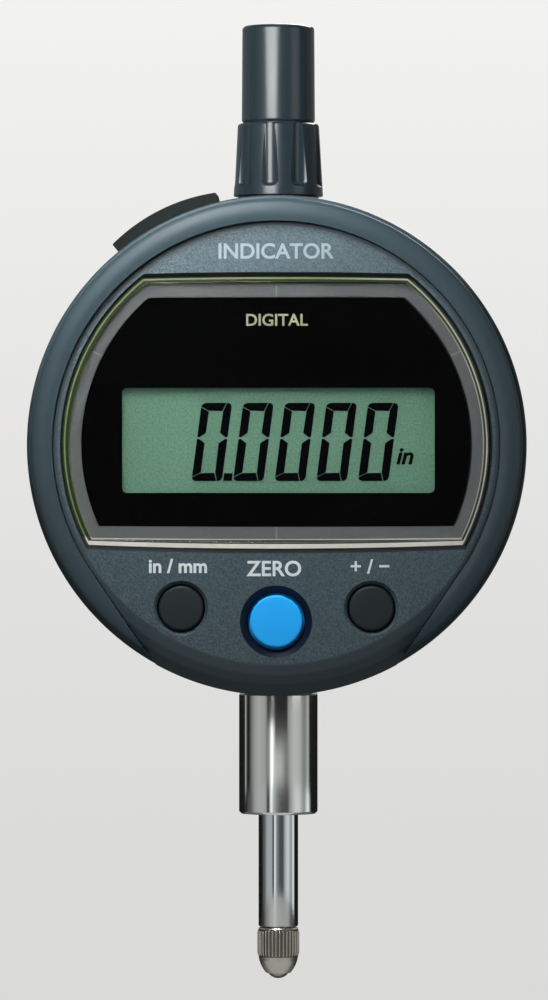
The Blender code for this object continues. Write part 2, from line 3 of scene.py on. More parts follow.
import bmesh
import bpy
from mathutils import Matrix, Vector


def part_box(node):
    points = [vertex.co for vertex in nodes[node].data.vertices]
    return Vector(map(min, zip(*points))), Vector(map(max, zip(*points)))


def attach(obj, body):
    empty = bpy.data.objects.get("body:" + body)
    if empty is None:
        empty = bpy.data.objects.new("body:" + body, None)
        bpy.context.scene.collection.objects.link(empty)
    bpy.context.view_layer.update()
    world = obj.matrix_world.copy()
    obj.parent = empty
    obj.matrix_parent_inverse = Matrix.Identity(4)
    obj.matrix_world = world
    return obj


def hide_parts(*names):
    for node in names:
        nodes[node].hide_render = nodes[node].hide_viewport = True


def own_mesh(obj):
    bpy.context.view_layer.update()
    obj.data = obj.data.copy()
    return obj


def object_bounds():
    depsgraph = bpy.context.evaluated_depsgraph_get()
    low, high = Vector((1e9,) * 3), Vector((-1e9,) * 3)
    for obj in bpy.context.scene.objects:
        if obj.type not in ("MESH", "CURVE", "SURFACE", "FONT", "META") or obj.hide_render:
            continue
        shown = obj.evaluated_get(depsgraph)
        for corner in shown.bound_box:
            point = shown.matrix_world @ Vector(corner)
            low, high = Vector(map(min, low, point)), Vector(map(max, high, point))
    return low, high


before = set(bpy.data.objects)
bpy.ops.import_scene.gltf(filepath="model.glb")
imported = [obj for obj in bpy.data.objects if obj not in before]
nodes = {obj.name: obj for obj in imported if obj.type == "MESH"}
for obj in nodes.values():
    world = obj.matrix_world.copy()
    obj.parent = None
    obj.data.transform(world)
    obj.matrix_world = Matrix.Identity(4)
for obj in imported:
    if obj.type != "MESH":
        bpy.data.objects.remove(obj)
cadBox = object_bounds()
mm = 0.001

caseLow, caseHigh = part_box("case_body")
stemLow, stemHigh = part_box("stem")
capLow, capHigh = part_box("spindle_cap")
dialRadius = (caseHigh.x - caseLow.x) / 2 / mm
dialZ = caseLow.z / mm + dialRadius  # millimetres from the stem clamp up to the dial's centre
print("frame loaded, dial centre at", round(dialZ, 2), "mm")


# ---- mesh helpers; sizes are in millimetres from the dial's centre

facing = Matrix(((1, 0, 0, 0), (0, 0, -1, 0), (0, 1, 0, 0), (0, 0, 0, 1)))  # own z to the user, own y up
upright = Matrix.Identity(4)


def atDial(turn=upright, x=0.0, z=0.0, y=0.0):
    return Matrix.Translation((x, y, z + dialZ)) @ turn


def meshObject(name, bm, place, material=None, smooth=35.0):
    bmesh.ops.transform(bm, matrix=Matrix.Scale(mm, 4) @ place, verts=bm.verts)
    mesh = bpy.data.meshes.new(name)
    bm.to_mesh(mesh)
    bm.free()
    obj = bpy.data.objects.new(name, mesh)
    bpy.context.scene.collection.objects.link(obj)
    if material:
        mesh.materials.append(material)
    if smooth:
        smoothByAngle(mesh, smooth)
    return obj


def smoothByAngle(mesh, degrees=35.0):
    mesh.shade_smooth()
    mesh.set_sharp_from_angle(angle=math.radians(degrees))
    for polygon in mesh.polygons:
        if len(polygon.vertices) > 8:  # a large flat end keeps its own flat shading
            polygon.use_smooth = False


def fillet(points, radii, steps=6, closed=True):
    made = []
    count = len(points)
    for i, point in enumerate(points):
        radius = radii[i] if isinstance(radii, (list, tuple)) else radii
        if not radius or (not closed and i in (0, count - 1)):
            made.append(tuple(point))
            continue
        here = Vector(point)
        before = Vector(points[i - 1]) - here
        after = Vector(points[(i + 1) % count]) - here
        angle = before.angle(after)
        reach = min(radius / math.tan(angle / 2), before.length * 0.49, after.length * 0.49)
        radius = reach * math.tan(angle / 2)
        middle = here + (before.normalized() + after.normalized()).normalized() * radius / math.sin(angle / 2)
        start = here + before.normalized() * reach - middle
        turn = start.angle_signed(here + after.normalized() * reach - middle)
        for k in range(steps + 1):
            spoke = start.copy()
            spoke.rotate(Matrix.Rotation(-turn * k / steps, 2))
            made.append(tuple(middle + spoke))
    return made


def revolve(name, profile, steps, place, material=None, closed=False, smooth=35.0):
    bm = bmesh.new()
    rings = []
    for r, h in profile:
        if r < 1e-6:
            rings.append([bm.verts.new((0, 0, h))])
        else:
            turn = [2 * math.pi * i / steps for i in range(steps)]
            rings.append([bm.verts.new((r * math.cos(a), r * math.sin(a), h)) for a in turn])
    pairs = list(zip(rings, rings[1:])) + ([(rings[-1], rings[0])] if closed else [])
    for a, b in pairs:
        for i in range(steps):
            corners = [a[i % len(a)], b[i % len(b)], b[(i + 1) % len(b)], a[(i + 1) % len(a)]]
            corners = list(dict.fromkeys(corners))
            if len(corners) > 2:
                bm.faces.new(corners)
    bmesh.ops.recalc_face_normals(bm, faces=bm.faces)
    return meshObject(name, bm, place, material, smooth)


def loft(name, layers, place, material=None, smooth=35.0):
    bm = bmesh.new()
    rings = [[bm.verts.new((x, y, h)) for x, y in outline] for outline, h in layers]
    for a, b in zip(rings, rings[1:]):
        for i in range(len(a)):
            j = (i + 1) % len(a)
            bm.faces.new((a[i], a[j], b[j], b[i]))
    bm.faces.new(rings[0][::-1])
    bm.faces.new(rings[-1])
    bmesh.ops.recalc_face_normals(bm, faces=bm.faces)
    return meshObject(name, bm, place, material, smooth)


def prism(name, outline, low, high, place, material=None, smooth=0):
    return loft(name, [(outline, low), (outline, high)], place, material, smooth)


def sheetWithHoles(name, outlines, low, high, place, material):
    curve = bpy.data.curves.new(name, "CURVE")
    curve.dimensions = "2D"
    curve.fill_mode = "BOTH"
    curve.extrude = (high - low) / 2
    for outline in outlines:
        spline = curve.splines.new("POLY")
        spline.points.add(len(outline) - 1)
        for point, (x, y) in zip(spline.points, outline):
            point.co = (x, y, 0.0, 1.0)
        spline.use_cyclic_u = True
    drawn = bpy.data.objects.new(name, curve)
    bpy.context.scene.collection.objects.link(drawn)
    mesh = evaluatedMesh(drawn)
    bpy.data.objects.remove(drawn)
    bm = bmesh.new()
    bm.from_mesh(mesh)
    bmesh.ops.remove_doubles(bm, verts=bm.verts, dist=1e-4)
    bmesh.ops.dissolve_limit(bm, angle_limit=0.002, verts=bm.verts, edges=bm.edges)
    bmesh.ops.translate(bm, vec=(0, 0, (low + high) / 2), verts=bm.verts)
    bmesh.ops.recalc_face_normals(bm, faces=bm.faces)
    return meshObject(name, bm, place, material, 35.0)


def evaluatedMesh(obj):
    bpy.context.view_layer.update()
    graph = bpy.context.evaluated_depsgraph_get()
    return bpy.data.meshes.new_from_object(obj.evaluated_get(graph))


def boolean(obj, operation, *others, smooth=35.0):
    for other in others:
        modifier = obj.modifiers.new("cut", "BOOLEAN")
        modifier.operation = operation
        modifier.object = other
    mesh = evaluatedMesh(obj)
    obj.modifiers.clear()
    obj.data = mesh
    for other in others:
        bpy.data.objects.remove(other)
    bm = bmesh.new()
    bm.from_mesh(mesh)
    bmesh.ops.remove_doubles(bm, verts=bm.verts, dist=1e-7)
    bm.to_mesh(mesh)
    bm.free()
    if smooth:
        smoothByAngle(mesh, smooth)
    return obj


def softenEdges(obj, width, segments=3, degrees=35.0):
    modifier = obj.modifiers.new("bevel", "BEVEL")
    modifier.width = width * mm
    modifier.segments = segments
    modifier.limit_method = "ANGLE"
    modifier.angle_limit = math.radians(degrees)
    modifier.harden_normals = False
    obj.data = evaluatedMesh(obj)
    obj.modifiers.clear()
    smoothByAngle(obj.data, degrees)
    return obj


def arc(radius, start, end, steps, centre=(0.0, 0.0)):
    turn = [start + (end - start) * i / steps for i in range(steps + 1)]
    return [(centre[0] + radius * math.cos(a), centre[1] + radius * math.sin(a)) for a in turn]


def circle(radius, steps, centre=(0.0, 0.0)):
    return arc(radius, 0.0, 2 * math.pi, steps, centre)[:-1]


def windowOutline(radius, bottom, top, bow=(0.0, 0.0), steps=48):
    high, low = math.asin(top / radius), math.asin(bottom / radius)
    points = arc(radius, low, high, steps)
    half = points[-1][0]
    points += [(half - 2 * half * i / 24, top + bow[1] * (1 - (1 - i / 12) ** 2)) for i in range(1, 24)]
    points += arc(radius, math.pi - high, math.pi - low, steps)
    half = points[-1][0]
    points += [(half - 2 * half * i / 24, bottom - bow[0] * (1 - (1 - i / 12) ** 2)) for i in range(1, 24)]
    return points


def shifted(outline, x):
    return [(px + x, pz) for px, pz in outline]


def shieldOutline(radius, chin, reach=32.0, steps=160):
    points = arc(radius, -chin, math.pi + chin, steps)
    run = math.sqrt(reach**2 - radius**2)
    x, z = points[-1]
    left = (x + run * math.sin(chin), z - run * math.cos(chin))
    return points + [left, (0.0, -reach - 2.0), (-left[0], left[1])]


def rectangle(width, height, centre=(0.0, 0.0), corner=0.0, steps=6):
    x, z = centre
    w, h = width / 2, height / 2
    points = [(x - w, z - h), (x + w, z - h), (x + w, z + h), (x - w, z + h)]
    return fillet(points, corner, steps) if corner else points


def placed(obj, body, slot, *replaced):
    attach(obj, body)
    if replaced:
        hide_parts(*replaced)
    return obj


# ---- shared effects for the materials


def nodeGroup(name, inputs, outputs):
    tree = bpy.data.node_groups.new(name, "ShaderNodeTree")
    for label, kind, value in inputs:
        socket = tree.interface.new_socket(label, in_out="INPUT", socket_type=kind)
        if value is not None:
            socket.default_value = value
    for label, kind in outputs:
        tree.interface.new_socket(label, in_out="OUTPUT", socket_type=kind)
    return tree, tree.nodes.new("NodeGroupInput"), tree.nodes.new("NodeGroupOutput")


def addNode(tree, kind, settings=None, **values):
    node = tree.nodes.new(kind)
    for label, value in (settings or {}).items():
        setattr(node, label, value)
    for label, value in values.items():
        node.inputs[label.replace("_", " ")].default_value = value
    return node


def wire(output, socket):
    socket.id_data.links.new(output, socket)


def math2(tree, operation, a, b=None, clamp=False):
    node = tree.nodes.new("ShaderNodeMath")
    node.operation = operation
    node.use_clamp = clamp
    for i, value in enumerate((a, b)):
        if value is None:
            continue
        if isinstance(value, (int, float)):
            node.inputs[i].default_value = value
        else:
            wire(value, node.inputs[i])
    return node.outputs[0]


def mapped(tree, value, fromLow, fromHigh, toLow, toHigh):
    node = tree.nodes.new("ShaderNodeMapRange")
    limits = {"From Min": fromLow, "From Max": fromHigh, "To Min": toLow, "To Max": toHigh}
    for label, number in limits.items():
        node.inputs[label].default_value = number
    wire(value, node.inputs["Value"])
    return node.outputs["Result"]


floatSocket, colourSocket, vectorSocket = "NodeSocketFloat", "NodeSocketColor", "NodeSocketVector"


def makeGrainGroup():
    tree, inside, out = nodeGroup(
        "fineGrain",
        [("Vector", vectorSocket, None), ("Scale", floatSocket, 4000.0), ("Contrast", floatSocket, 1.0)],
        [("Height", floatSocket), ("Speckle", floatSocket)],
    )
    noise = addNode(tree, "ShaderNodeTexNoise", Detail=2.0, Roughness=0.6)
    cells = addNode(tree, "ShaderNodeTexVoronoi", {"feature": "F1"}, Randomness=1.0)
    wire(inside.outputs["Vector"], noise.inputs["Vector"])
    wire(inside.outputs["Scale"], noise.inputs["Scale"])
    wire(inside.outputs["Vector"], cells.inputs["Vector"])
    wire(inside.outputs["Scale"], cells.inputs["Scale"])
    centred = math2(tree, "SUBTRACT", noise.outputs["Fac"], 0.5)
    spread = math2(tree, "MULTIPLY", centred, inside.outputs["Contrast"])
    height = math2(tree, "SUBTRACT", spread, math2(tree, "MULTIPLY", cells.outputs["Distance"], 0.5))
    wire(height, out.inputs["Height"])
    wire(math2(tree, "ADD", spread, 0.5, clamp=True), out.inputs["Speckle"])
    return tree


def makeSmudgeGroup():
    tree, inside, out = nodeGroup(
        "handling",
        [("Vector", vectorSocket, None), ("Scale", floatSocket, 90.0), ("Low", floatSocket, 0.35),
         ("High", floatSocket, 0.5)],
        [("Roughness", floatSocket), ("Mask", floatSocket)],
    )
    noise = addNode(tree, "ShaderNodeTexNoise", Detail=5.0, Roughness=0.65)
    wire(inside.outputs["Vector"], noise.inputs["Vector"])
    wire(inside.outputs["Scale"], noise.inputs["Scale"])
    spread = tree.nodes.new("ShaderNodeMapRange")
    spread.inputs["From Min"].default_value = 0.3
    spread.inputs["From Max"].default_value = 0.7
    wire(noise.outputs["Fac"], spread.inputs["Value"])
    wire(inside.outputs["Low"], spread.inputs["To Min"])
    wire(inside.outputs["High"], spread.inputs["To Max"])
    wire(spread.outputs["Result"], out.inputs["Roughness"])
    wire(noise.outputs["Fac"], out.inputs["Mask"])
    return tree


def makeTurnedGroup():
    tree, inside, out = nodeGroup(
        "turnedLines",
        [("Vector", vectorSocket, None), ("Pitch", floatSocket, 12000.0)],
        [("Height", floatSocket)],
    )
    stretch = tree.nodes.new("ShaderNodeVectorMath")
    stretch.operation = "MULTIPLY"
    stretch.inputs[1].default_value = (0.02, 0.02, 1.0)
    noise = addNode(tree, "ShaderNodeTexNoise", Detail=3.0, Roughness=0.7)
    wire(inside.outputs["Vector"], stretch.inputs[0])
    wire(stretch.outputs[0], noise.inputs["Vector"])
    wire(inside.outputs["Pitch"], noise.inputs["Scale"])
    wire(noise.outputs["Fac"], out.inputs["Height"])
    return tree


def makeTintGroup():
    tree, inside, out = nodeGroup(
        "tintDrift",
        [("Vector", vectorSocket, None), ("Colour", colourSocket, (1, 1, 1, 1)), ("Scale", floatSocket, 60.0),
         ("Amount", floatSocket, 0.15), ("Speckle", floatSocket, 0.5), ("Speckle Amount", floatSocket, 0.0)],
        [("Colour", colourSocket)],
    )
    noise = addNode(tree, "ShaderNodeTexNoise", Detail=3.0, Roughness=0.5)
    wire(inside.outputs["Vector"], noise.inputs["Vector"])
    wire(inside.outputs["Scale"], noise.inputs["Scale"])
    cloud = math2(tree, "SUBTRACT", noise.outputs["Fac"], 0.5)
    dots = math2(tree, "SUBTRACT", inside.outputs["Speckle"], 0.5)
    drift = math2(tree, "MULTIPLY", cloud, inside.outputs["Amount"])
    speck = math2(tree, "MULTIPLY", dots, inside.outputs["Speckle Amount"])
    factor = math2(tree, "ADD", math2(tree, "ADD", drift, speck), 1.0)
    scale = tree.nodes.new("ShaderNodeVectorMath")
    scale.operation = "SCALE"
    wire(inside.outputs["Colour"], scale.inputs[0])
    wire(factor, scale.inputs["Scale"])
    wire(scale.outputs[0], out.inputs["Colour"])
    return tree


grainGroup = makeGrainGroup()
smudgeGroup = makeSmudgeGroup()
turnedGroup = makeTurnedGroup()
tintGroup = makeTintGroup()


def newMaterial(name, **fixed):
    material = bpy.data.materials.new(name)
    material.use_nodes = True
    tree = material.node_tree
    shader = tree.nodes["Principled BSDF"]
    for label, value in fixed.items():
        shader.inputs[label.replace("_", " ")].default_value = value
    coords = tree.nodes.new("ShaderNodeTexCoord")
    return material, tree, shader, coords.outputs["Object"]


def useGroup(tree, group, vector, **values):
    node = tree.nodes.new("ShaderNodeGroup")
    node.node_tree = group
    for label, value in values.items():
        socket = node.inputs[label.replace("_", " ")]
        if isinstance(value, bpy.types.NodeSocket):
            wire(value, socket)
        else:
            socket.default_value = value
    wire(vector, node.inputs["Vector"])
    return node


def wireLook(shader, tint, handled):
    wire(tint.outputs["Colour"], shader.inputs["Base Color"])
    wire(handled.outputs["Roughness"], shader.inputs["Roughness"])


def addBump(tree, shader, height, distance):
    bump = tree.nodes.new("ShaderNodeBump")
    bump.inputs["Distance"].default_value = distance * mm
    wire(height, bump.inputs["Height"])
    wire(bump.outputs["Normal"], shader.inputs["Normal"])


def mouldedMaterial(
    name, colour, roughness, grainScale=9000.0, grainDepth=0.004, drift=0.12, speckle=0.1, **fixed
):
    material, tree, shader, vector = newMaterial(name, **fixed)
    grain = useGroup(tree, grainGroup, vector, Scale=grainScale)
    tint = useGroup(
        tree, tintGroup, vector, Colour=(*colour, 1.0), Amount=drift, Speckle=grain.outputs["Speckle"],
        Speckle_Amount=speckle,
    )
    handled = useGroup(tree, smudgeGroup, vector, Low=roughness[0], High=roughness[1])
    wireLook(shader, tint, handled)
    addBump(tree, shader, grain.outputs["Height"], grainDepth)
    return material


def metalMaterial(name, colour, roughness, pitch=12000.0, depth=0.0006, drift=0.06, **fixed):
    material, tree, shader, vector = newMaterial(name, Metallic=1.0, **fixed)
    turned = useGroup(tree, turnedGroup, vector, Pitch=pitch)
    tint = useGroup(tree, tintGroup, vector, Colour=(*colour, 1.0), Amount=drift)
    handled = useGroup(tree, smudgeGroup, vector, Scale=160.0, Low=roughness[0], High=roughness[1])
    wireLook(shader, tint, handled)
    addBump(tree, shader, turned.outputs["Height"], depth)
    return material


slate = (0.029, 0.047, 0.057)
casePlastic = mouldedMaterial(
    "casePlastic", slate, (0.38, 0.44), 9000.0, 0.0025, speckle=0.1, Specular_IOR_Level=0.2
)
# the cap uses the case's slate plastic darkened as painted shade, so its sides stay dark beside the highlight
capPlasticPaintedShade = mouldedMaterial(
    "capPlasticPaintedShade", (0.0105, 0.0175, 0.0215), (0.22, 0.27), 5000.0, 0.0035, speckle=0.1, Specular_IOR_Level=0.3
)
backPlastic = mouldedMaterial("backPlastic", slate, (0.45, 0.55), 7000.0, 0.01, speckle=0.12)
rubberBlack = mouldedMaterial(
    "rubberBlack", (0.008, 0.0105, 0.0105), (0.55, 0.65), 4500.0, 0.02, Specular_IOR_Level=0.06
)
buttonCharcoal = mouldedMaterial(
    "buttonCharcoal", (0.01, 0.0155, 0.0185), (0.5, 0.6), 9000.0, 0.006, Specular_IOR_Level=0.25
)
buttonBlue = mouldedMaterial(
    "buttonBlue", (0.012, 0.41, 1.0), (0.45, 0.52), 9000.0, 0.005, speckle=0.12, Specular_IOR_Level=0.25
)
recessNavy = mouldedMaterial(
    "recessNavy", (0.003, 0.007, 0.02), (0.4, 0.5), 12000.0, 0.002, Specular_IOR_Level=0.2
)
framePlastic = mouldedMaterial("framePlastic", (0.012, 0.013, 0.014), (0.5, 0.6))
chipBlack = mouldedMaterial("chipBlack", (0.012, 0.012, 0.013), (0.4, 0.5), 16000.0, 0.003)
stemSteel = metalMaterial("stemSteel", (0.73, 0.74, 0.72), (0.08, 0.13), depth=0.0004)
spindleSteel = metalMaterial("spindleSteel", (0.7, 0.72, 0.73), (0.05, 0.09), depth=0.0003)
pointSteel = metalMaterial("pointSteel", (0.5, 0.49, 0.43), (0.32, 0.4), depth=0.002)
# darker steel for the knurl's valleys: painted shade between the ridges
valleySteelPaintedShade = metalMaterial("valleySteelPaintedShade", (0.13, 0.13, 0.11), (0.4, 0.5), depth=0.002)
carbideGrey = metalMaterial("carbideGrey", (0.3, 0.31, 0.3), (0.14, 0.2))
screwSteel = metalMaterial("screwSteel", (0.32, 0.32, 0.33), (0.25, 0.35), depth=0.001)
bushBronze = metalMaterial("bushBronze", (0.55, 0.36, 0.16), (0.3, 0.4))
milledAluminium = metalMaterial("milledAluminium", (0.66, 0.67, 0.68), (0.3, 0.42), depth=0.002)
goldTrack = metalMaterial("goldTrack", (0.8, 0.56, 0.18), (0.25, 0.35))


def makeFaceMaterial():
    look = {"colour": (0.04, 0.067, 0.081), "grain": 4200.0, "depth": 0.03, "flatRadius": 26.4}
    material, tree, shader, vector = newMaterial("faceTexture", IOR=1.5, Specular_IOR_Level=0.4)
    grain = useGroup(tree, grainGroup, vector, Scale=look["grain"], Contrast=2.4)
    middle = tree.nodes.new("ShaderNodeVectorMath")
    middle.operation = "SUBTRACT"
    middle.inputs[1].default_value = (0.0, 0.0, dialZ * mm)
    wire(vector, middle.inputs[0])
    split = tree.nodes.new("ShaderNodeSeparateXYZ")
    wire(middle.outputs[0], split.inputs[0])
    x2 = math2(tree, "MULTIPLY", split.outputs["X"], split.outputs["X"])
    z2 = math2(tree, "MULTIPLY", split.outputs["Z"], split.outputs["Z"])
    radius = math2(tree, "SQRT", math2(tree, "ADD", x2, z2))
    edge = math2(tree, "SUBTRACT", look["flatRadius"] * mm, radius)
    flat = math2(tree, "MULTIPLY", edge, 4000.0, clamp=True)  # one on the flat disc, none on the chin
    height = math2(tree, "MULTIPLY", grain.outputs["Height"], flat)
    # with no speckle on the chin the tint factor drops, so the chin's colour is darker: painted shade on its
    # downward slope, on top of its smooth finish
    tint = useGroup(
        tree, tintGroup, vector, Colour=(*look["colour"], 1.0), Amount=0.1, Speckle_Amount=0.9,
        Speckle=math2(tree, "MULTIPLY", grain.outputs["Speckle"], flat),
    )
    handled = useGroup(tree, smudgeGroup, vector, Low=0.46, High=0.54)
    wireLook(shader, tint, handled)
    addBump(tree, shader, height, look["depth"])
    return material


def makeWindowMaterial():
    material, tree, shader, vector = newMaterial(
        "windowClear", Base_Color=(0.95, 0.985, 0.95, 1.0), Transmission_Weight=1.0, IOR=1.49,
    )
    handled = useGroup(tree, smudgeGroup, vector, Scale=40.0, Low=0.0, High=0.03)
    wire(handled.outputs["Roughness"], shader.inputs["Roughness"])
    clear = tree.nodes.new("ShaderNodeBsdfTransparent")
    clear.inputs["Color"].default_value = (0.93, 0.96, 0.93, 1.0)
    path = tree.nodes.new("ShaderNodeLightPath")
    mix = tree.nodes.new("ShaderNodeMixShader")
    wire(path.outputs["Is Shadow Ray"], mix.inputs["Fac"])
    wire(shader.outputs["BSDF"], mix.inputs[1])
    wire(clear.outputs["BSDF"], mix.inputs[2])
    wire(mix.outputs["Shader"], tree.nodes["Material Output"].inputs["Surface"])
    return material


def makeInkMaterial(name, colour, roughness=0.5, shine=0.3):
    material, tree, shader, vector = newMaterial(name, Specular_IOR_Level=shine)
    tint = useGroup(tree, tintGroup, vector, Colour=(*colour, 1.0), Scale=900.0, Amount=0.25)
    handled = useGroup(tree, smudgeGroup, vector, Low=roughness, High=roughness + 0.1)
    wireLook(shader, tint, handled)
    return material


def makePaintedEdgeLightMaterial(name, dim, bright):
    # the window's cut edge: a greenish glass-edge tint kept dim above and at the left as painted shade, and
    # bright below and at the right as a painted highlight
    material, tree, shader, vector = newMaterial(name, Specular_IOR_Level=0.2)
    split = tree.nodes.new("ShaderNodeSeparateXYZ")
    wire(vector, split.inputs[0])
    low = (dialZ - 10.9) * mm
    right = mapped(tree, split.outputs["X"], 6.0 * mm, 24.0 * mm, 0.0, 0.62)
    below = mapped(tree, split.outputs["Z"], low, low - 0.3 * mm, 0.0, 1.0)
    lit = math2(tree, "MAXIMUM", right, below, clamp=True)
    mix = tree.nodes.new("ShaderNodeMix")
    mix.data_type = "RGBA"
    mix.inputs["A"].default_value = (*dim, 1.0)
    mix.inputs["B"].default_value = (*bright, 1.0)
    wire(lit, mix.inputs["Factor"])
    grain = useGroup(tree, grainGroup, vector, Scale=2500.0)
    tint = useGroup(
        tree, tintGroup, vector, Colour=mix.outputs["Result"], Scale=500.0, Amount=0.3,
        Speckle=grain.outputs["Speckle"], Speckle_Amount=0.15,
    )
    handled = useGroup(tree, smudgeGroup, vector, Low=0.3, High=0.4)
    wireLook(shader, tint, handled)
    return material


def makeBoardMaterial():
    material, tree, shader, vector = newMaterial("boardGreen", IOR=1.5)
    shape = {"offset": 0.37, "squash": 0.6}
    bricks = addNode(tree, "ShaderNodeTexBrick", shape, Scale=420.0, Mortar_Size=0.06)
    bricks.inputs["Color1"].default_value = (0.012, 0.11, 0.045, 1.0)
    bricks.inputs["Color2"].default_value = (0.016, 0.13, 0.055, 1.0)
    bricks.inputs["Mortar"].default_value = (0.06, 0.24, 0.09, 1.0)
    turn = addNode(tree, "ShaderNodeMapping")
    turn.inputs["Rotation"].default_value = (math.pi / 2, 0.0, 0.0)
    wire(vector, turn.inputs["Vector"])
    wire(turn.outputs["Vector"], bricks.inputs["Vector"])
    wire(bricks.outputs["Color"], shader.inputs["Base Color"])
    handled = useGroup(tree, smudgeGroup, vector, Low=0.3, High=0.42)
    wire(handled.outputs["Roughness"], shader.inputs["Roughness"])
    addBump(tree, shader, bricks.outputs["Fac"], 0.03)
    return material


faceTexture = makeFaceMaterial()
windowClear = makeWindowMaterial()
labelInk = makeInkMaterial("labelInk", (0.6, 0.67, 0.69))
nameInk = makeInkMaterial("nameInk", (0.2, 0.26, 0.28))
creamInk = makeInkMaterial("creamInk", (0.46, 0.44, 0.3))
maskBlack = makeInkMaterial("maskBlack", (0.0006, 0.0008, 0.0007), 0.2, 0.0)
digitInk = makeInkMaterial("digitInk", (0.0012, 0.0012, 0.003), 0.4, 0.0)
solarFilm = mouldedMaterial(
    "solarFilm", (0.132, 0.129, 0.145), (0.3, 0.36), 3600.0, 0.001, speckle=0.3, Specular_IOR_Level=0.2
)
solarLine = makeInkMaterial("solarLine", (0.2, 0.21, 0.2))
# lens-edge line and band: painted highlight and painted shade on the lens's cut edge, over its greenish edge
# tint
rimLinePaintedHighlight = makePaintedEdgeLightMaterial("rimLinePaintedHighlight", (0.15, 0.18, 0.08), (0.6, 0.57, 0.52))
rimBandPaintedShading = makePaintedEdgeLightMaterial("rimBandPaintedShading", (0.01, 0.021, 0.006), (0.05, 0.054, 0.051))
# the window's side wall: the panel plastic darkened as painted shade
wallPaintedShade = mouldedMaterial("wallPaintedShade", (0.008, 0.011, 0.012), (0.5, 0.6), Specular_IOR_Level=0.2)
lcdGlass = mouldedMaterial(
    "lcdGlass", (0.142, 0.268, 0.2), (0.5, 0.6), 3800.0, 0.002, drift=0.08, speckle=1.0,
    Specular_IOR_Level=0.1,
)
boardGreen = makeBoardMaterial()
print("materials ready")


# ---- housing


def makeCase():
    size = {"front": 8.15, "back": -7.0, "radius": dialRadius, "inner": 28.2, "opening": 17.0, "steps": 256}
    outer = [
        (size["inner"], size["front"]), (size["radius"], size["front"] - 0.05),
        (size["radius"], size["back"]), (28.1, size["back"]), (28.1, -6.0),
        (size["opening"], -6.0), (size["opening"], -4.6), (size["inner"], -4.6),
    ]
    profile = fillet(outer, [0.0, 0.3, 1.1, 0.12, 0.0, 0.0, 0.0, 0.0])
    return revolve("caseShell", profile, size["steps"], atDial(facing), casePlastic, closed=True)


def finishCase(case):
    seat = revolve("seat", [(0, 30.1), (4.9, 30.1), (4.9, 28.5), (0, 28.5)], 96, atDial())
    boss = prism("boss", rectangle(10.4, 11.0, (0.0, -0.5)), 22.0, 29.3, atDial(), smooth=35.0)
    stemBoss = prism("stemBoss", rectangle(15.0, 11.2, (0.0, -0.6)), -28.9, -24.4, atDial(), smooth=35.0)
    boolean(case, "UNION", seat, boss, stemBoss)
    bored = [(0, -24.0), (5.4, -24.0), (5.4, -26.5), (4.82, -26.5), (4.82, -32.0), (0, -32.0)]
    stemHole = revolve("stemHole", bored, 96, atDial())
    bushHole = revolve("bushHole", [(0, 33.0), (3.5, 33.0), (3.5, 21.0), (0, 21.0)], 96, atDial())
    turned = Matrix.Rotation(math.radians(-26.5), 4, "Y")
    portHole = prism("portHole", rectangle(11.0, 5.4, (0.0, -1.1)), 24.0, 33.0, atDial(turned), smooth=35.0)
    boolean(case, "DIFFERENCE", stemHole, bushHole, portHole)
    placed(case, "case", "case", "case_body")


chinAngle = math.radians(34.0)  # how far below level the ring ends on each side


def makeBezelRing():
    size = {"outer": 29.48, "inner": 26.8, "crest": 10.9, "top": 27.9, "steps": 320}
    slope = []
    for i in range(15):  # a low dome
        radius = 26.95 + 2.15 * i / 14
        slope.append((radius, size["crest"] - 0.16 * (radius - size["top"]) ** 2))
    corners = [(size["inner"], 6.6), (28.1, 6.6), (28.1, 8.25), (size["outer"], 8.25), (size["outer"], 10.3)]
    corners += slope[::-1] + [(size["inner"], 10.74)]
    radii = [0.0, 0.0, 0.0, 0.0, 0.3] + [0.0] * len(slope) + [0.14]
    profile = fillet(corners, radii, 8)
    ring = revolve("bezelRing", profile, size["steps"], atDial(facing), casePlastic, closed=True)
    room = prism("room", shieldOutline(size["inner"], chinAngle), 5.0, 12.0, atDial(facing))
    boolean(ring, "DIFFERENCE", room, smooth=30.0)
    placed(ring, "case", "case", "bezel_ring")


buttonLooks = {
    "unit": {"x": -11.4, "z": -19.55, "radius": 2.71, "front": 9.7, "hole": 2.9, "sink": 3.3, "depth": 0.45},
    "origin": {"x": 0.0, "z": -21.15, "radius": 3.18, "front": 9.55, "hole": 3.4, "sink": 4.33, "depth": 0.9},
    "sign": {"x": 11.4, "z": -19.55, "radius": 2.71, "front": 9.7, "hole": 2.9, "sink": 3.3, "depth": 0.45},
}


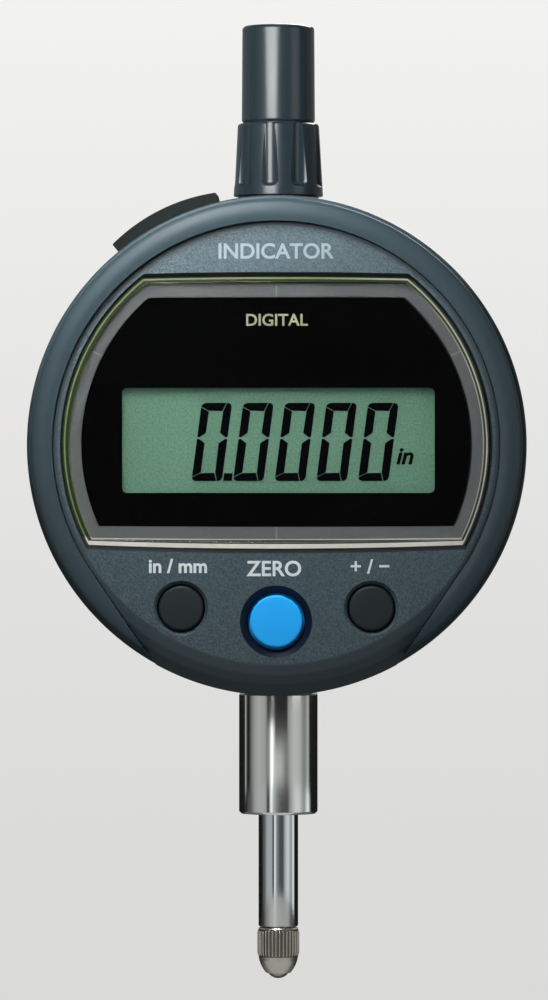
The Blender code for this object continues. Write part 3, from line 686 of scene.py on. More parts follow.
def makeFacePanel():
    size = {"front": 9.6, "back": 8.25, "radius": 26.7, "rim": 30.05, "steps": 320}
    slope = [
        (0.0, size["front"]), (26.45, size["front"]), (27.6, 9.47), (28.7, 9.1), (29.55, 8.6),
        (size["rim"], 8.35), (size["rim"], size["back"]), (0.0, size["back"]),
    ]
    profile = fillet(slope, [0, 3.0, 2.0, 1.6, 0.4, 0.05, 0, 0], closed=False)
    face = revolve("facePanel", profile, size["steps"], atDial(facing), faceTexture)
    edge = prism("edge", shieldOutline(size["radius"], chinAngle), 7.0, 11.0, atDial(facing))
    boolean(face, "INTERSECT", edge)
    bow = (0.5, 0.2)
    front = windowOutline(25.9, -12.5, 20.5, bow)
    back = windowOutline(25.68, -12.1, 20.0, bow)
    layers = [(back, 7.0), (back, 9.0), (front, 9.62), (windowOutline(26.1, -12.7, 20.7, bow), 11.0)]
    cutters = [loft("opening", layers, atDial(facing))]
    for look in buttonLooks.values():
        slopeRun = (look["sink"] - look["hole"]) / look["depth"]
        wide = look["sink"] + slopeRun * 0.5
        shape = [(0, 10.1), (wide, 10.1), (look["hole"], 9.6 - look["depth"]), (look["hole"], 7.5), (0, 7.5)]
        cutters.append(revolve("sink", shape, 96, atDial(facing, look["x"], look["z"])))
    boolean(face, "DIFFERENCE", *cutters, smooth=25.0)
    face.data.materials.append(recessNavy)
    face.data.materials.append(wallPaintedShade)
    middle = Vector((0.0, (buttonLooks["origin"]["z"] + dialZ) * mm))
    for polygon in face.data.polygons:
        spot = Vector((polygon.center.x, polygon.center.z)) - middle
        if spot.length < 4.3 * mm and polygon.center.y > -9.59 * mm:
            polygon.material_index = 1
        x, z = polygon.center.x / mm, polygon.center.z / mm - dialZ
        # the window's side walls get painted shade
        if abs(polygon.normal.y) < 0.97 and z > -13.0 and x * x + z * z < 26.42**2:
            polygon.material_index = 2
    placed(face, "case", "face", "face_panel")


def makeButtons():
    flange = {"unit": 3.5, "origin": 4.0, "sign": 3.5}
    for name, look in buttonLooks.items():
        r, front, wide = look["radius"] - 0.03, look["front"], flange[name]
        corners = [
            (0, front + 0.03), (r * 0.7, front + 0.01), (r, front - 0.03), (r, 8.1), (wide, 8.1),
            (wide, 7.7), (1.0, 7.7), (1.0, 6.9), (0, 6.9),
        ]
        profile = fillet(corners, [0, 0, 0.32, 0, 0.08, 0.08, 0, 0.1, 0], 8, closed=False)
        material, slotName = buttonCharcoal, "button_dark"
        if name == "origin":
            material, slotName = buttonBlue, "button_blue"
        button = revolve(name + "Button", profile, 128, atDial(facing, look["x"], look["z"]), material)
        placed(button, name + "_button", slotName, name + "_button")


# ---- display


def makeDisplay():
    lens = {"radius": 24.9, "bottom": -11.36, "top": 19.45, "bow": (0.3, 0.12), "front": 9.05, "back": 8.1}
    outer = windowOutline(lens["radius"], lens["bottom"], lens["top"], lens["bow"])
    window = prism("windowLens", outer, lens["back"], lens["front"], atDial(facing), windowClear)
    softenEdges(window, 0.05, 3, 20.0)
    placed(window, "case", "lens", "lens")

    # the lens's cut edge drawn as thin sheets: a band of painted shade and painted highlight, and thin lines
    # of painted highlight
    edge = shifted(windowOutline(25.62, -12.05, 19.97, (0.45, 0.2)), -0.1)
    band = [edge, windowOutline(24.92, -11.38, 19.47, lens["bow"])]
    placed(sheetWithHoles("lensRim", band, 8.1, 8.98, atDial(facing), rimBandPaintedShading), "case", "lens")
    line = [
        shifted(windowOutline(25.39, -11.97, 19.88, (0.45, 0.2)), -0.08),
        shifted(windowOutline(25.22, -11.48, 19.68, (0.4, 0.2)), -0.08),
    ]
    placed(sheetWithHoles("lensRimHighlight", line, 8.98, 9.02, atDial(facing), rimLinePaintedHighlight), "case", "lens")
    slight = (0.15, 0.05)
    thin = [windowOutline(24.87, -11.28, 19.3, slight), windowOutline(24.76, -11.14, 19.2, slight)]
    placed(sheetWithHoles("lensInnerHighlight", thin, 7.98, 8.0, atDial(facing), rimLinePaintedHighlight), "case", "lens")

    solar = [windowOutline(24.9, -11.25, 19.25, slight), windowOutline(23.45, -9.75, 17.7, (0.1, 0.05))]
    strip = sheetWithHoles("solarStrip", solar, 7.6, 7.98, atDial(facing), solarFilm)
    placed(strip, "case", "solar", "solar_cell")

    bars = {"angles": (90.0, 153.0, 27.0, 270.0), "width": 0.22, "inner": 23.5, "outer": 24.85}
    for i, degrees in enumerate(bars["angles"]):
        a = math.radians(degrees)
        low, high = bars["inner"], bars["outer"]
        if degrees == 90.0:
            low, high = 17.8, 19.2
        elif degrees == 270.0:
            low, high = 9.85, 11.3
        half = bars["width"] / 2
        along, side = Vector((math.cos(a), math.sin(a))), Vector((-math.sin(a), math.cos(a)))
        corners = ((low, -half), (high, -half), (high, half), (low, half))
        outline = [tuple(along * r + side * s) for r, s in corners]
        line = prism(f"solarBreak{i + 1}", outline, 7.98, 8.0, atDial(facing), solarLine)
        placed(line, "case", "solar")

    mask = [
        shifted(windowOutline(23.32, -9.68, 17.62, (0.1, 0.05)), -0.1),
        rectangle(37.5, 12.6, (0.22, 0.55), 0.6),
    ]
    cover = sheetWithHoles("displayMask", mask, 7.7, 8.0, atDial(facing), maskBlack)
    placed(cover, "case", "mask", "display_mask")

    glass = rectangle(39.9, 15.7, (0.22, 0.55))
    panel = prism("lcdPanel", glass, 6.0, 6.85, atDial(facing), lcdGlass, smooth=35.0)
    placed(panel, "case", "lcd", "lcd_panel")


segmentShapes = {"up": 4.23, "down": 5.17, "width": 3.67, "stroke": 1.0, "gap": 0.045, "slant": 0.132}


def digitOutlines():
    # the six lit segments of a nought, each with its corner towards the next one's start
    s = segmentShapes
    up, down, w, t, g = s["up"], -s["down"], s["width"], s["stroke"], s["gap"]
    roundTop = [(0.0, up - 0.5 + g), (0.14, up - 0.16), (0.5, up)]
    roundRight = [(w - 0.5, up), (w - 0.14, up - 0.14), (w, up - 0.5)]
    top = roundTop + [(w - t + 0.35 - g, up), (w - t - g, up - t), (t, up - t + g)]
    upperLeft = [(0.0, up - 0.5 - g), (t, up - t - g), (t, 0.62), (t * 0.25, 0.07), (0.0, 0.16)]
    upperRight = [(w - t + 0.35 + g, up)] + roundRight
    upperRight += [(w, 0.16), (w - t * 0.25, 0.07), (w - t, 0.62), (w - t + g, up - t)]
    lowerLeft = [(0.0, -0.16), (t * 0.25, -0.07), (t, -0.62), (t, down + t + g), (0.0, down + 0.5 + g)]
    bottom = [(0.0, down + 0.5 - g), (t, down + t - g), (w - t - g, down + t), (w - t + 0.35 - g, down)]
    bottom += [(0.5, down), (0.14, down + 0.14)]
    lowerRight = [(w - t, -0.62), (w - t * 0.25, -0.07), (w, -0.16), (w, down + 0.5)]
    lowerRight += [(w - 0.14, down + 0.14), (w - 0.5, down), (w - t + 0.35 + g, down), (w - t + g, down + t)]
    return [top, upperLeft, upperRight, lowerLeft, bottom, lowerRight]


def makeDigits():
    look = {"first": -9.56, "pitch": 5.0, "waist": 0.84, "count": 5, "low": 6.9, "high": 6.93}
    bm = bmesh.new()

    def addShape(points, x0, z0):
        slanted = [(x0 + x + z * segmentShapes["slant"], z0 + z) for x, z in points]
        low = [bm.verts.new((x, z, look["low"])) for x, z in slanted]
        high = [bm.verts.new((x, z, look["high"])) for x, z in slanted]
        bm.faces.new(low[::-1])
        bm.faces.new(high)
        for i in range(len(low)):
            j = (i + 1) % len(low)
            bm.faces.new((low[i], low[j], high[j], high[i]))

    for shape in digitOutlines():
        addShape(shape, 0.0, 0.0)
    bmesh.ops.recalc_face_normals(bm, faces=bm.faces)
    digit = meshObject("digit", bm, atDial(facing, look["first"], look["waist"]), digitInk, 0)

    tree, inside, onPoints = repeatTree("digitRow", {"Pitch": "NodeSocketFloat"}, digitInk)
    line = tree.nodes.new("GeometryNodeMeshLine")
    step = tree.nodes.new("ShaderNodeCombineXYZ")
    wire(inside.outputs["Count"], line.inputs["Count"])
    wire(inside.outputs["Pitch"], step.inputs["X"])
    wire(step.outputs[0], line.inputs["Offset"])
    wire(line.outputs["Mesh"], onPoints.inputs["Points"])
    applyTree(digit, tree, Count=look["count"], Pitch=look["pitch"] * mm)
    digit.name = "lcdDigits"
    placed(digit, "case", "lcd")

    bm = bmesh.new()
    addShape(rectangle(1.05, 0.92, (4.33, -4.68)), 0.0, 0.0)
    bmesh.ops.recalc_face_normals(bm, faces=bm.faces)
    point = meshObject("decimalPoint", bm, atDial(facing, look["first"], look["waist"]), digitInk, 0)
    placed(point, "case", "lcd")


def repeatTree(name, sizes, material):
    # instances of the incoming mesh, made real and painted; the caller adds the points
    tree = bpy.data.node_groups.new(name, "GeometryNodeTree")
    kinds = {"Geometry": "NodeSocketGeometry", "Count": "NodeSocketInt"} | sizes
    for label, kind in kinds.items():
        tree.interface.new_socket(label, in_out="INPUT", socket_type=kind)
    tree.interface.new_socket("Geometry", in_out="OUTPUT", socket_type="NodeSocketGeometry")
    inside, out = tree.nodes.new("NodeGroupInput"), tree.nodes.new("NodeGroupOutput")
    onPoints = tree.nodes.new("GeometryNodeInstanceOnPoints")
    real = tree.nodes.new("GeometryNodeRealizeInstances")
    paint = tree.nodes.new("GeometryNodeSetMaterial")
    paint.inputs["Material"].default_value = material
    wire(inside.outputs["Geometry"], onPoints.inputs["Instance"])
    wire(onPoints.outputs["Instances"], real.inputs["Geometry"])
    wire(real.outputs["Geometry"], paint.inputs["Geometry"])
    wire(paint.outputs["Geometry"], out.inputs["Geometry"])
    return tree, inside, onPoints


def applyTree(obj, tree, **inputs):
    modifier = obj.modifiers.new(tree.name, "NODES")
    modifier.node_group = tree
    for item in tree.interface.items_tree:
        if item.in_out == "INPUT" and item.name in inputs:
            modifier[item.identifier] = inputs[item.name]
    obj.data = evaluatedMesh(obj)
    obj.modifiers.clear()
    return obj


def makeText(name, words, size, x, z, height, thickness, material, slotName, shear=0.0, bold=0.0):
    curve = bpy.data.curves.new(name, "FONT")
    curve.body = words
    curve.size = size
    curve.align_x = "CENTER"
    curve.align_y = "CENTER"
    curve.shear = shear
    curve.offset = bold
    curve.extrude = thickness / 2
    curve.resolution_u = 5
    drawn = bpy.data.objects.new(name, curve)
    bpy.context.scene.collection.objects.link(drawn)
    mesh = evaluatedMesh(drawn)
    bpy.data.objects.remove(drawn)
    bm = bmesh.new()
    bm.from_mesh(mesh)
    bmesh.ops.remove_doubles(bm, verts=bm.verts, dist=1e-5)
    low = min(v.co.y for v in bm.verts)
    high = max(v.co.y for v in bm.verts)
    bmesh.ops.translate(bm, vec=(0, -(low + high) / 2, height + thickness / 2), verts=bm.verts)
    bmesh.ops.recalc_face_normals(bm, faces=bm.faces)
    text = meshObject(name, bm, atDial(facing, x, z), material, 0)
    return placed(text, "case", slotName)


def makeLabels():
    printed = {"height": 9.6, "thickness": 0.015}
    h, t = printed["height"], printed["thickness"]
    makeText("nameLabel", "INDICATOR", 2.55, -0.1, 23.2, h, t, nameInk, "face", bold=0.05)
    makeText("unitLabel", "in / mm", 2.3, -11.75, -14.5, h, t, labelInk, "face", bold=0.06)
    makeText("zeroLabel", "ZERO", 2.55, -0.2, -14.8, h, t, labelInk, "face", bold=0.05)
    makeText("signLabel", "+ / −", 2.4, 11.25, -14.55, h, t, labelInk, "face", bold=0.04)
    makeText("kindLabel", "DIGITAL", 2.0, 0.0, 15.0, 8.0, 0.02, creamInk, "mask", bold=0.03)
    makeText("inchSign", "in", 2.85, 15.3, -1.35, 6.9, 0.03, digitInk, "lcd", shear=0.25, bold=0.08)


# ---- spindle, stem and point


def makeStem():
    top, end = stemHigh.z / mm - dialZ, stemLow.z / mm - dialZ
    size = {"radius": 4.7625, "flange": 5.3, "bore": 3.4, "steps": 192}
    r = size["radius"]
    corners = [
        (size["flange"], top), (size["flange"], -26.4), (4.7, -26.4), (4.7, -30.1), (r, -30.2),
        (r, end + 0.28), (r - 0.28, end), (size["bore"], end), (size["bore"], top),
    ]
    profile = fillet(corners, [0, 0, 0, 0, 0.05, 0.12, 0.12, 0.1, 0])
    stem = revolve("stemTube", profile, size["steps"], atDial(), stemSteel, closed=True)
    placed(stem, "case", "steel", "stem")


def makeSpindle():
    low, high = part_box("spindle")
    end, top = low.z / mm - dialZ, high.z / mm - dialZ
    r = 2.4
    corners = [
        (0, top), (2.1, top), (r, top - 0.3), (r, -23.45), (2.1, -23.45), (2.1, -24.15), (r, -24.15),
        (r, end + 0.15), (r - 0.15, end), (1.3, end), (1.3, -54.0), (0, -54.0),
    ]
    profile = fillet(corners, [0, 0.1, 0.1, 0, 0, 0, 0, 0.05, 0.05, 0, 0, 0], closed=False)
    spindle = revolve("spindleRod", profile, 128, atDial(), spindleSteel)
    placed(spindle, "spindle", "steel", "spindle")


pointOutline = [(2.42, -61.4), (2.4, -61.9), (2.31, -62.4), (2.12, -62.95), (1.84, -63.45), (1.5, -63.92)]


def makeContactPoint():
    low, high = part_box("contact_body")
    ballLow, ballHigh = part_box("contact_ball")
    ballZ = (ballLow.z + ballHigh.z) / 2 / mm - dialZ
    ballR = (ballHigh.x - ballLow.x) / 2 / mm
    shoulder = -58.4
    seatR = ballR + 0.02
    seat = [(r, ballZ + z) for r, z in arc(seatR, math.asin(-0.8 / seatR), math.pi / 2, 12)]
    corners = [
        (0, -54.5), (1.25, -54.5), (1.25, shoulder), (2.28, shoulder), (2.42, shoulder - 0.18), *pointOutline,
    ]
    profile = fillet(corners, [0, 0, 0, 0.08, 0.1, 0.6, 1.5, 1.5, 1.5, 1.5, 0.03], 5, closed=False)
    profile += seat[:-1] + [(0, ballZ + seatR)]
    body = revolve("contactPoint", profile, 160, atDial(), pointSteel, smooth=30.0)
    body.data.materials.append(valleySteelPaintedShade)
    # the body between the knurl ridges gets painted shade
    for polygon in body.data.polygons:
        x, y, z = polygon.center / mm
        if math.hypot(x, y) > 2.3 and -61.95 < z - dialZ < shoulder - 0.3:
            polygon.material_index = 1
    knurl = makeKnurl(shoulder)
    bm = bmesh.new()
    bm.from_mesh(body.data)
    bm.from_mesh(knurl.data)
    bm.to_mesh(body.data)
    bm.free()
    bpy.data.objects.remove(knurl)
    placed(body, "spindle", "knurled", "contact_body")

    bm = bmesh.new()
    bmesh.ops.create_uvsphere(bm, u_segments=96, v_segments=64, radius=ballR)
    ball = meshObject("carbideBall", bm, atDial(z=ballZ), carbideGrey, 180.0)
    placed(ball, "spindle", "carbide", "contact_ball")


def makeKnurl(shoulder):
    look = {"count": 34, "radius": 2.36, "crest": 2.54, "width": 0.26, "bottom": -61.95}
    look["top"] = shoulder - 0.24
    run = {0.0: 0.0, 0.03: 0.55, 0.07: 0.9, 0.12: 1.0, 0.82: 1.0, 0.9: 0.85, 0.96: 0.5, 1.0: 0.0}
    length = look["top"] - look["bottom"]
    bm = bmesh.new()
    rings = []
    for t, share in run.items():
        z = look["top"] - length * t
        base = min(look["radius"], pointRadius(z)) - 0.05
        crest = base + (look["crest"] - look["radius"] + 0.05) * share
        half = look["width"] / 2 * (0.35 + 0.65 * min(1.0, share + 0.2))
        rings.append([bm.verts.new(v) for v in (
            (base, -half, z), (base + (crest - base) * 0.75, -half * 0.55, z), (crest, -half * 0.2, z),
            (crest, half * 0.2, z), (base + (crest - base) * 0.75, half * 0.55, z), (base, half, z),
        )])
    for a, b in zip(rings, rings[1:]):
        for i in range(len(a)):
            j = (i + 1) % len(a)
            bm.faces.new((a[i], a[j], b[j], b[i]))
    bm.faces.new(rings[0])
    bm.faces.new(rings[-1][::-1])
    bmesh.ops.recalc_face_normals(bm, faces=bm.faces)
    ridge = meshObject("ridge", bm, Matrix.Identity(4), pointSteel, 60.0)
    tree, inside, onPoints = repeatTree("knurlRing", {"Height": "NodeSocketFloat"}, pointSteel)
    points = tree.nodes.new("GeometryNodePoints")
    index = tree.nodes.new("GeometryNodeInputIndex")
    share = math2(tree, "DIVIDE", index.outputs[0], inside.outputs["Count"])
    turn = tree.nodes.new("ShaderNodeCombineXYZ")
    lift = tree.nodes.new("ShaderNodeCombineXYZ")
    wire(inside.outputs["Count"], points.inputs["Count"])
    wire(inside.outputs["Height"], lift.inputs["Z"])
    wire(lift.outputs[0], points.inputs["Position"])
    wire(math2(tree, "MULTIPLY", share, 2 * math.pi), turn.inputs["Z"])
    wire(points.outputs[0], onPoints.inputs["Points"])
    wire(turn.outputs[0], onPoints.inputs["Rotation"])
    return applyTree(ridge, tree, Count=look["count"], Height=dialZ * mm)


def pointRadius(z):
    for (ra, za), (rb, zb) in zip(pointOutline, pointOutline[1:]):
        if za >= z >= zb:
            return ra + (rb - ra) * (z - za) / (zb - za)
    return pointOutline[0][0]


# ---- cap


def makeCap():
    top, bottom = capHigh.z / mm - dialZ, capLow.z / mm - dialZ
    step = 39.0
    size = {"flutes": 9, "start": math.radians(-99.9), "fluteRadius": 1.6, "reach": 6.39, "fluteEnd": 31.2}
    corners = [
        (0, top), (4.36, top), (4.44, step + 0.35), (4.15, step + 0.02), (4.92, step), (5.42, bottom + 0.08),
        (5.35, bottom), (3.55, bottom), (3.55, 37.0), (2.9, 37.6), (2.9, 49.4), (0, 49.4),
    ]
    profile = fillet(corners, [0, 0.5, 0.3, 0.06, 0.42, 0.06, 0.05, 0.1, 0, 0, 0.2, 0], 8, closed=False)
    cap = revolve("spindleCap", profile, 256, atDial(), capPlasticPaintedShade)
    cutters = []
    for i in range(size["flutes"]):
        angle = size["start"] + 2 * math.pi * i / size["flutes"]
        x, y = size["reach"] * math.cos(angle), size["reach"] * math.sin(angle)
        r, low = size["fluteRadius"], size["fluteEnd"]
        shape = fillet([(0, 39.1), (r, 39.1), (r, low), (0, low)], [0, 0, 1.4, 0], 10, closed=False)
        cutters.append(revolve("flute", shape, 64, atDial(x=x, y=y)))
    boolean(cap, "DIFFERENCE", *cutters, smooth=28.0)
    placed(cap, "cap", "case", "spindle_cap")


# ---- port cover


def makePortCover():
    look = {"tilt": math.radians(116.5), "half": math.radians(12.9), "inner": 30.12, "outer": 31.68}
    look |= {"drop": 0.35, "y": 1.1, "wide": 8.0}
    m, h = look["tilt"], look["half"]
    top = []
    for i in range(41):
        share = i / 20 - 1
        radius = look["outer"] - look["drop"] * share**2
        top.append((radius * math.cos(m + share * h), radius * math.sin(m + share * h)))
    under = arc(look["inner"], m + h, m - h, 40)
    outline = fillet(top + under, [0.8 if i in (0, 40) else 0.2 if i in (41, 81) else 0 for i in range(82)])
    low, high = look["y"] - look["wide"] / 2, look["y"] + look["wide"] / 2
    cover = prism("portCover", outline, low, high, atDial(facing), rubberBlack)
    turned = Matrix.Rotation(math.radians(-26.5), 4, "Y")
    plug = prism("plug", rectangle(9.0, 3.0, (0.0, -1.1)), 27.5, 31.0, atDial(turned), smooth=35.0)
    boolean(cover, "UNION", plug)
    softenEdges(cover, 0.4, 5)
    placed(cover, "port_cover", "rubber", "connector_cover")


# ---- back


def makeBack():
    size = {"back": -7.6, "front": -6.1, "radius": 28.0}
    size |= {"lugHalf": 3.175, "lugR": 6.0, "hole": 3.2, "holeY": 15.2}
    r, front, back = size["radius"], size["front"], size["back"]
    disc = fillet([(0, front), (r, front), (r, back), (0, back)], [0, 0, 0.25, 0], closed=False)
    cover = revolve("rearCover", disc, 256, atDial(facing), backPlastic)
    side = math.asin(size["lugR"] / 8.5) / 2
    outline = [(6.9, -8.5), (8.0, -8.5)]
    outline += arc(size["lugR"], -math.pi / 2 + side, math.pi / 2 - side, 48, (size["holeY"], 0.0))
    outline += [(8.0, 8.5), (6.9, 8.5)]
    along = Matrix(((0, 0, 1, 0), (1, 0, 0, 0), (0, 1, 0, 0), (0, 0, 0, 1)))
    lug = prism("lug", outline, -size["lugHalf"], size["lugHalf"], atDial(along))
    softenEdges(lug, 0.3, 4, 60.0)
    h = size["lugHalf"]
    bore = revolve(
        "bore",
        [(0, h + 1), (size["hole"] + 1.3, h + 1), (size["hole"], h - 0.3), (size["hole"], -h + 0.3),
         (size["hole"] + 1.3, -h - 1), (0, -h - 1)],
        96, atDial(along, 0, 0, size["holeY"]),
    )
    boolean(cover, "UNION", lug)
    sinks = []
    for sx in (-1, 1):
        for sz in (-1, 1):
            shape = [(0, -5.5), (1.1, -5.5), (1.1, -6.6), (2.1, -6.6), (2.1, -8.5), (0, -8.5)]
            sinks.append(revolve("sink", shape, 64, atDial(facing, sx * 15.9, sz * 15.9)))
    boolean(cover, "DIFFERENCE", bore, *sinks)
    placed(cover, "case", "case", "back_cover")


def makeBackScrews():
    look = {"head": 1.9, "shank": 0.95, "top": -7.5, "under": -6.7, "end": -2.4, "spread": 15.9}
    corners = [
        (0, look["end"]), (look["shank"], look["end"]), (look["shank"], look["under"]),
        (look["head"], look["under"]), (look["head"], look["top"]), (0, look["top"]),
    ]
    for i in range(4):
        x, z = (look["spread"] * s for s in ((-1, -1), (-1, 1), (1, -1), (1, 1))[i])
        profile = fillet(corners, [0, 0.2, 0, 0.05, 0.35, 0], closed=False)
        screw = revolve(f"backScrew{i + 1}", profile, 64, atDial(facing, x, z), screwSteel)
        turn = Matrix.Rotation(0.3 + i, 4, "Z")
        bars = [
            prism("bar", rectangle(*bar), -8.0, -6.95, atDial(facing, x, z) @ turn)
            for bar in ((2.2, 0.5), (0.5, 2.2))
        ]
        boolean(screw, "DIFFERENCE", *bars)
        placed(screw, "case", "screw", f"back_screw_{i + 1}")


# ---- inside


def makeReturnSpring():
    low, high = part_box("return_spring")
    look = {"radius": 2.95, "wire": 0.2, "turns": 13, "perTurn": 24, "sides": 8}
    bottom, top = low.z / mm - dialZ + look["wire"], high.z / mm - dialZ - look["wire"]
    bm = bmesh.new()
    rings = []
    count = look["turns"] * look["perTurn"]
    for i in range(count + 1):
        angle = 2 * math.pi * i / look["perTurn"]
        z = bottom + (top - bottom) * i / count
        ring = []
        for k in range(look["sides"]):
            a = 2 * math.pi * k / look["sides"]
            r, lift = look["radius"] + look["wire"] * math.cos(a), look["wire"] * math.sin(a)
            ring.append(bm.verts.new((r * math.cos(angle), r * math.sin(angle), z + lift)))
        rings.append(ring)
    for a, b in zip(rings, rings[1:]):
        for k in range(look["sides"]):
            j = (k + 1) % look["sides"]
            bm.faces.new((a[k], a[j], b[j], b[k]))
    bm.faces.new(rings[0])
    bm.faces.new(rings[-1][::-1])
    bmesh.ops.recalc_face_normals(bm, faces=bm.faces)
    spring = meshObject("returnSpring", bm, atDial(), screwSteel, 60.0)
    placed(spring, "case", "screw", "return_spring")
    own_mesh(spring)


insideFinishes = {
    "rubber_black": (rubberBlack, ["contact_strip_lower", "contact_strip_upper", "button_seal", "bumper_ring",
                                   "back_gasket"]),
    "frame": (framePlastic, ["display_frame"]),
    "board": (boardGreen, ["main_board", "detector_board"]),
    "chip": (chipBlack, ["processor", "unit_switch", "origin_switch", "sign_switch", "connector_socket"]),
    "gold": (goldTrack, ["scale", "flex_cable"]),
    "bronze": (bushBronze, ["lower_bush", "middle_bush", "upper_bush"]),
    "aluminium": (milledAluminium, ["scale_holder", "guide_rail", "storage_capacitor"]),
    "screw": (screwSteel, ["stop_ring", "guide_pin", "clamp_screw", "detector_screw_1", "detector_screw_2"]
              + [f"board_screw_{i}" for i in range(1, 5)]),
}


def finishInside():
    for material, names in insideFinishes.values():
        for name in names:
            mesh = nodes[name].data
            mesh.materials.clear()
            mesh.materials.append(material)


# ---- stage


def makeCamera():
    look = {"lens": 210.0, "distance": 700.0, "azimuth": 1.7, "aimX": -0.3, "aimY": -7.65, "aimZ": -6.6}
    data = bpy.data.cameras.new("camera")
    data.lens = look["lens"]
    data.sensor_width = 36.0
    data.clip_start, data.clip_end = 0.01, 30.0
    camera = bpy.data.objects.new("camera", data)
    bpy.context.scene.collection.objects.link(camera)
    aim = Vector((look["aimX"], look["aimY"], look["aimZ"] + dialZ))
    turn = math.radians(look["azimuth"])
    away = Vector((math.sin(turn), -math.cos(turn), 0.0))
    camera.location = (aim + away * look["distance"]) * mm
    camera.rotation_euler = (-away).to_track_quat("-Z", "Y").to_euler()
    bpy.context.scene.camera = camera


def addLight(name, place, aim, size, power):
    data = bpy.data.lights.new(name, "AREA")
    data.shape = "RECTANGLE"
    data.size, data.size_y = size[0] * mm, size[1] * mm
    data.energy = power
    light = bpy.data.objects.new(name, data)
    bpy.context.scene.collection.objects.link(light)
    light.location = Vector(place) * mm
    light.visible_camera = False
    direction = (Vector(aim) - Vector(place)).normalized()
    light.rotation_euler = direction.to_track_quat("-Z", "Y").to_euler()
    return light


def emissionMaterial(name, strength, colour=(1.0, 1.0, 1.0)):
    material = bpy.data.materials.new(name)
    material.use_nodes = True
    tree = material.node_tree
    tree.nodes.clear()
    out = tree.nodes.new("ShaderNodeOutputMaterial")
    glow = addNode(tree, "ShaderNodeEmission", Color=(*colour, 1.0), Strength=strength)
    wire(glow.outputs[0], out.inputs["Surface"])
    return material


def makeStage():
    look = {"floor": cadBox[0].z / mm - 120.0, "flat": 2200.0, "wall": 3600.0, "height": 3600.0}
    look |= {"paleLow": 0.7, "paleHigh": 0.88, "floorGlow": 0.1}
    look |= {"behind": 0.32, "front": 0.015, "depth": 900.0}
    profile = [(0, look["floor"]), (look["flat"], look["floor"])]
    bend = look["wall"] - look["flat"]
    profile += arc(bend, -math.pi / 2, 0.0, 16, (look["flat"], look["floor"] + bend))[1:]
    profile += [(look["wall"], look["height"])]
    material = bpy.data.materials.new("paleStage")
    material.use_nodes = True
    tree = material.node_tree
    tree.nodes.clear()
    out = tree.nodes.new("ShaderNodeOutputMaterial")
    diffuse = addNode(tree, "ShaderNodeBsdfDiffuse", Color=(0.06, 0.06, 0.059, 1.0))
    seen = addNode(tree, "ShaderNodeEmission", Color=(1.0, 0.995, 0.975, 1.0))
    unseen = addNode(tree, "ShaderNodeEmission", Color=(1.0, 1.0, 1.0, 1.0))
    coords = tree.nodes.new("ShaderNodeTexCoord")
    split = tree.nodes.new("ShaderNodeSeparateXYZ")
    low = look["floor"] * mm
    depth = mapped(tree, split.outputs["Y"], 0.0, look["depth"] * mm, look["front"], look["behind"])
    pale = mapped(tree, split.outputs["Z"], low, low + 0.5, look["paleLow"], look["paleHigh"])
    near = mapped(tree, split.outputs["Z"], low, low + 0.15, look["floorGlow"], 0.0)
    path = tree.nodes.new("ShaderNodeLightPath")
    pick = tree.nodes.new("ShaderNodeMixShader")
    both = tree.nodes.new("ShaderNodeAddShader")
    wire(coords.outputs["Object"], split.inputs[0])
    wire(pale, seen.inputs["Strength"])
    wire(math2(tree, "MAXIMUM", depth, near), unseen.inputs["Strength"])
    wire(path.outputs["Is Camera Ray"], pick.inputs["Fac"])
    wire(unseen.outputs[0], pick.inputs[1])
    wire(seen.outputs[0], pick.inputs[2])
    wire(pick.outputs[0], both.inputs[0])
    wire(diffuse.outputs[0], both.inputs[1])
    wire(both.outputs[0], out.inputs["Surface"])
    bowl = revolve("studioBowl", profile, 64, Matrix.Identity(4), material)
    bowl.data.flip_normals()
    bowl.visible_shadow = False
    world = bpy.data.worlds.new("world")
    world.use_nodes = True
    world.node_tree.nodes["Background"].inputs["Color"].default_value = (0.9, 0.92, 0.95, 1.0)
    world.node_tree.nodes["Background"].inputs["Strength"].default_value = 0.05
    bpy.context.scene.world = world


def hideFromAllButGloss(card):
    card.visible_camera = False
    card.visible_diffuse = False
    card.visible_shadow = False
    card.visible_transmission = False


def glossRing(name, bands, low, high, colour, radius=150.0):
    # an upright ring that only reflections see; the bands give its strength by degrees from the front
    material = emissionMaterial(name, 2.0, colour)
    tree = material.node_tree
    coords = tree.nodes.new("ShaderNodeTexCoord")
    split = tree.nodes.new("ShaderNodeSeparateXYZ")
    turn = math2(tree, "ARCTAN2", split.outputs["X"], math2(tree, "MULTIPLY", split.outputs["Y"], -1.0))
    share = mapped(tree, turn, -math.pi, math.pi, 0.0, 1.0)
    ramp = tree.nodes.new("ShaderNodeValToRGB")
    stops = ramp.color_ramp.elements
    for i, (degrees, strength) in enumerate(sorted(bands.items())):
        at = (degrees + 180.0) / 360.0
        stop = stops[i] if i < 2 else stops.new(at)
        stop.position = at
        stop.color = [strength / 2.0 * c for c in colour] + [1.0]
    wire(coords.outputs["Object"], split.inputs[0])
    wire(share, ramp.inputs["Fac"])
    wire(ramp.outputs["Color"], tree.nodes["Emission"].inputs["Color"])
    bm = bmesh.new()
    rows = []
    for i in range(180):
        angle = 2 * math.pi * i / 180
        x, y = radius * math.sin(angle), -radius * math.cos(angle)
        rows.append([bm.verts.new((x, y, z)) for z in (low, high)])
    for a, b in zip(rows, rows[1:] + rows[:1]):
        bm.faces.new((a[0], a[1], b[1], b[0]))
    hideFromAllButGloss(meshObject(name, bm, atDial(), material, 0))


def glossCard(name, corners, strength):
    bm = bmesh.new()
    bm.faces.new([bm.verts.new(corner) for corner in corners])
    hideFromAllButGloss(meshObject(name, bm, atDial(), emissionMaterial(name, strength), 0))


def curvedCard(start, end, low, high, radius):
    start, end = math.radians(start), math.radians(end)
    ends = [(start, low), (end, low), (end, high), (start, high)]
    return [(radius * math.sin(a), -radius * math.cos(a), z) for a, z in ends]


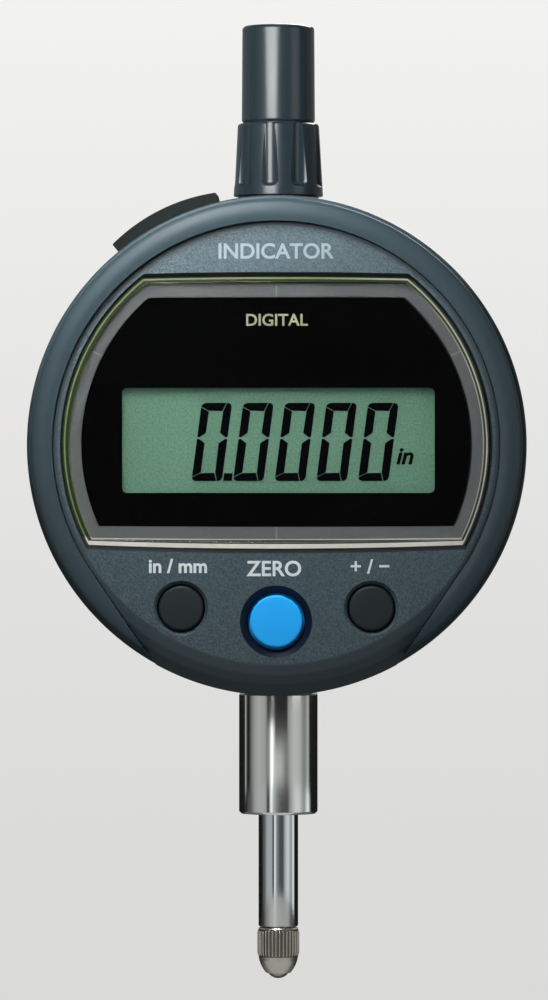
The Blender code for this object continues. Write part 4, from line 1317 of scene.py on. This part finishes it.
stemBands = {
    -125: 0.01, -114: 0.02, -109: 0.55, -103: 0.03, -92: 0.01, -85: 0.18, -70: 0.42, -56: 0.5,
    -38: 0.42, -31: 0.26, -24: 0.4, -17: 2.0, -11: 0.75, -2: 0.64, 10: 0.58, 15: 0.46,
    22: 0.27, 28: 0.27, 34: 0.42, 47: 0.56, 66: 0.5, 80: 0.27, 88: 0.27, 98: 0.55,
    105: 0.02, 116: 0.01, 160: 0.01,
}
spindleBands = {
    -125: 0.01, -104: 0.02, -97: 0.1, -84: 0.14, -70: 0.42, -56: 0.5, -38: 0.48, -34: 0.4,
    -30: 0.01, -25: 0.1, -19: 1.25, -12: 0.5, -6: 0.34, 3: 0.16, 14: 0.09, 29: 0.09,
    36: 0.34, 42: 0.5, 54: 0.75, 66: 0.72, 76: 0.42, 84: 0.36, 98: 1.1, 106: 0.4,
    112: 0.01, 160: 0.01,
}
pointBands = {-125: 0.02, -95: 0.05, -60: 0.35, -20: 0.65, 0: 0.5, 60: 0.4, 80: 0.12, 110: 0.02}


def makeLights():
    dial = (0.0, -9.0, dialZ)
    addLight("softboxNear", (-18.0, -52.0, dialZ + 53.0), (-6.0, -9.0, dialZ + 20.0), (34.0, 44.0), 0.09)
    addLight("softboxKey", (-160.0, -600.0, dialZ + 150.0), dial, (80.0, 320.0), 0.25)
    addLight("fillLeft", (-420.0, -330.0, dialZ + 60.0), dial, (260.0, 420.0), 0.12)
    addLight("fillRight", (460.0, -300.0, dialZ + 20.0), dial, (260.0, 420.0), 0.55)
    addLight("rearTop", (200.0, 640.0, dialZ + 520.0), dial, (500.0, 300.0), 7.0)
    glossRing("stemRing", stemBands, -53.6, -27.0, (0.97, 1.0, 0.98))
    glossRing("spindleRing", spindleBands, -73.0, -53.6, (0.95, 1.0, 1.0))
    glossRing("pointRing", pointBands, -130.0, -73.0, (1.0, 0.99, 0.95))
    shades = ((-8, 28, -43.0, -40.5, 0.35), (-8, 28, -40.5, -38.0, 0.12), (-8, 28, -38.0, -27.0, 0.02))
    shades += ((-31, -8, -36.0, -27.0, 0.05),)
    for i, (start, end, low, high, strength) in enumerate(shades):
        glossCard(f"cardShade{i + 1}", curvedCard(start, end, low, high, 148.0), strength)
    glossCard("cardCap", curvedCard(-24, -6, 42.0, 84.0, 300.0), 4.5)
    glossCard("cardUnderPoint", [(-30, 2, -76), (30, 2, -76), (30, -26, -74), (-30, -26, -74)], 0.6)
    bpy.context.scene.view_settings.view_transform = "Standard"


case = makeCase()
finishCase(case)
makeBezelRing()
makeFacePanel()
print("housing made")
makeButtons()
makeDisplay()
makeDigits()
makeLabels()
print("display and labels made")
makeStem()
makeSpindle()
makeContactPoint()
makeCap()
makePortCover()
print("turned pieces made")
makeBack()
makeBackScrews()
makeReturnSpring()
finishInside()
print("back and inside made")
makeStage()
makeLights()
makeCamera()
print("stage ready")
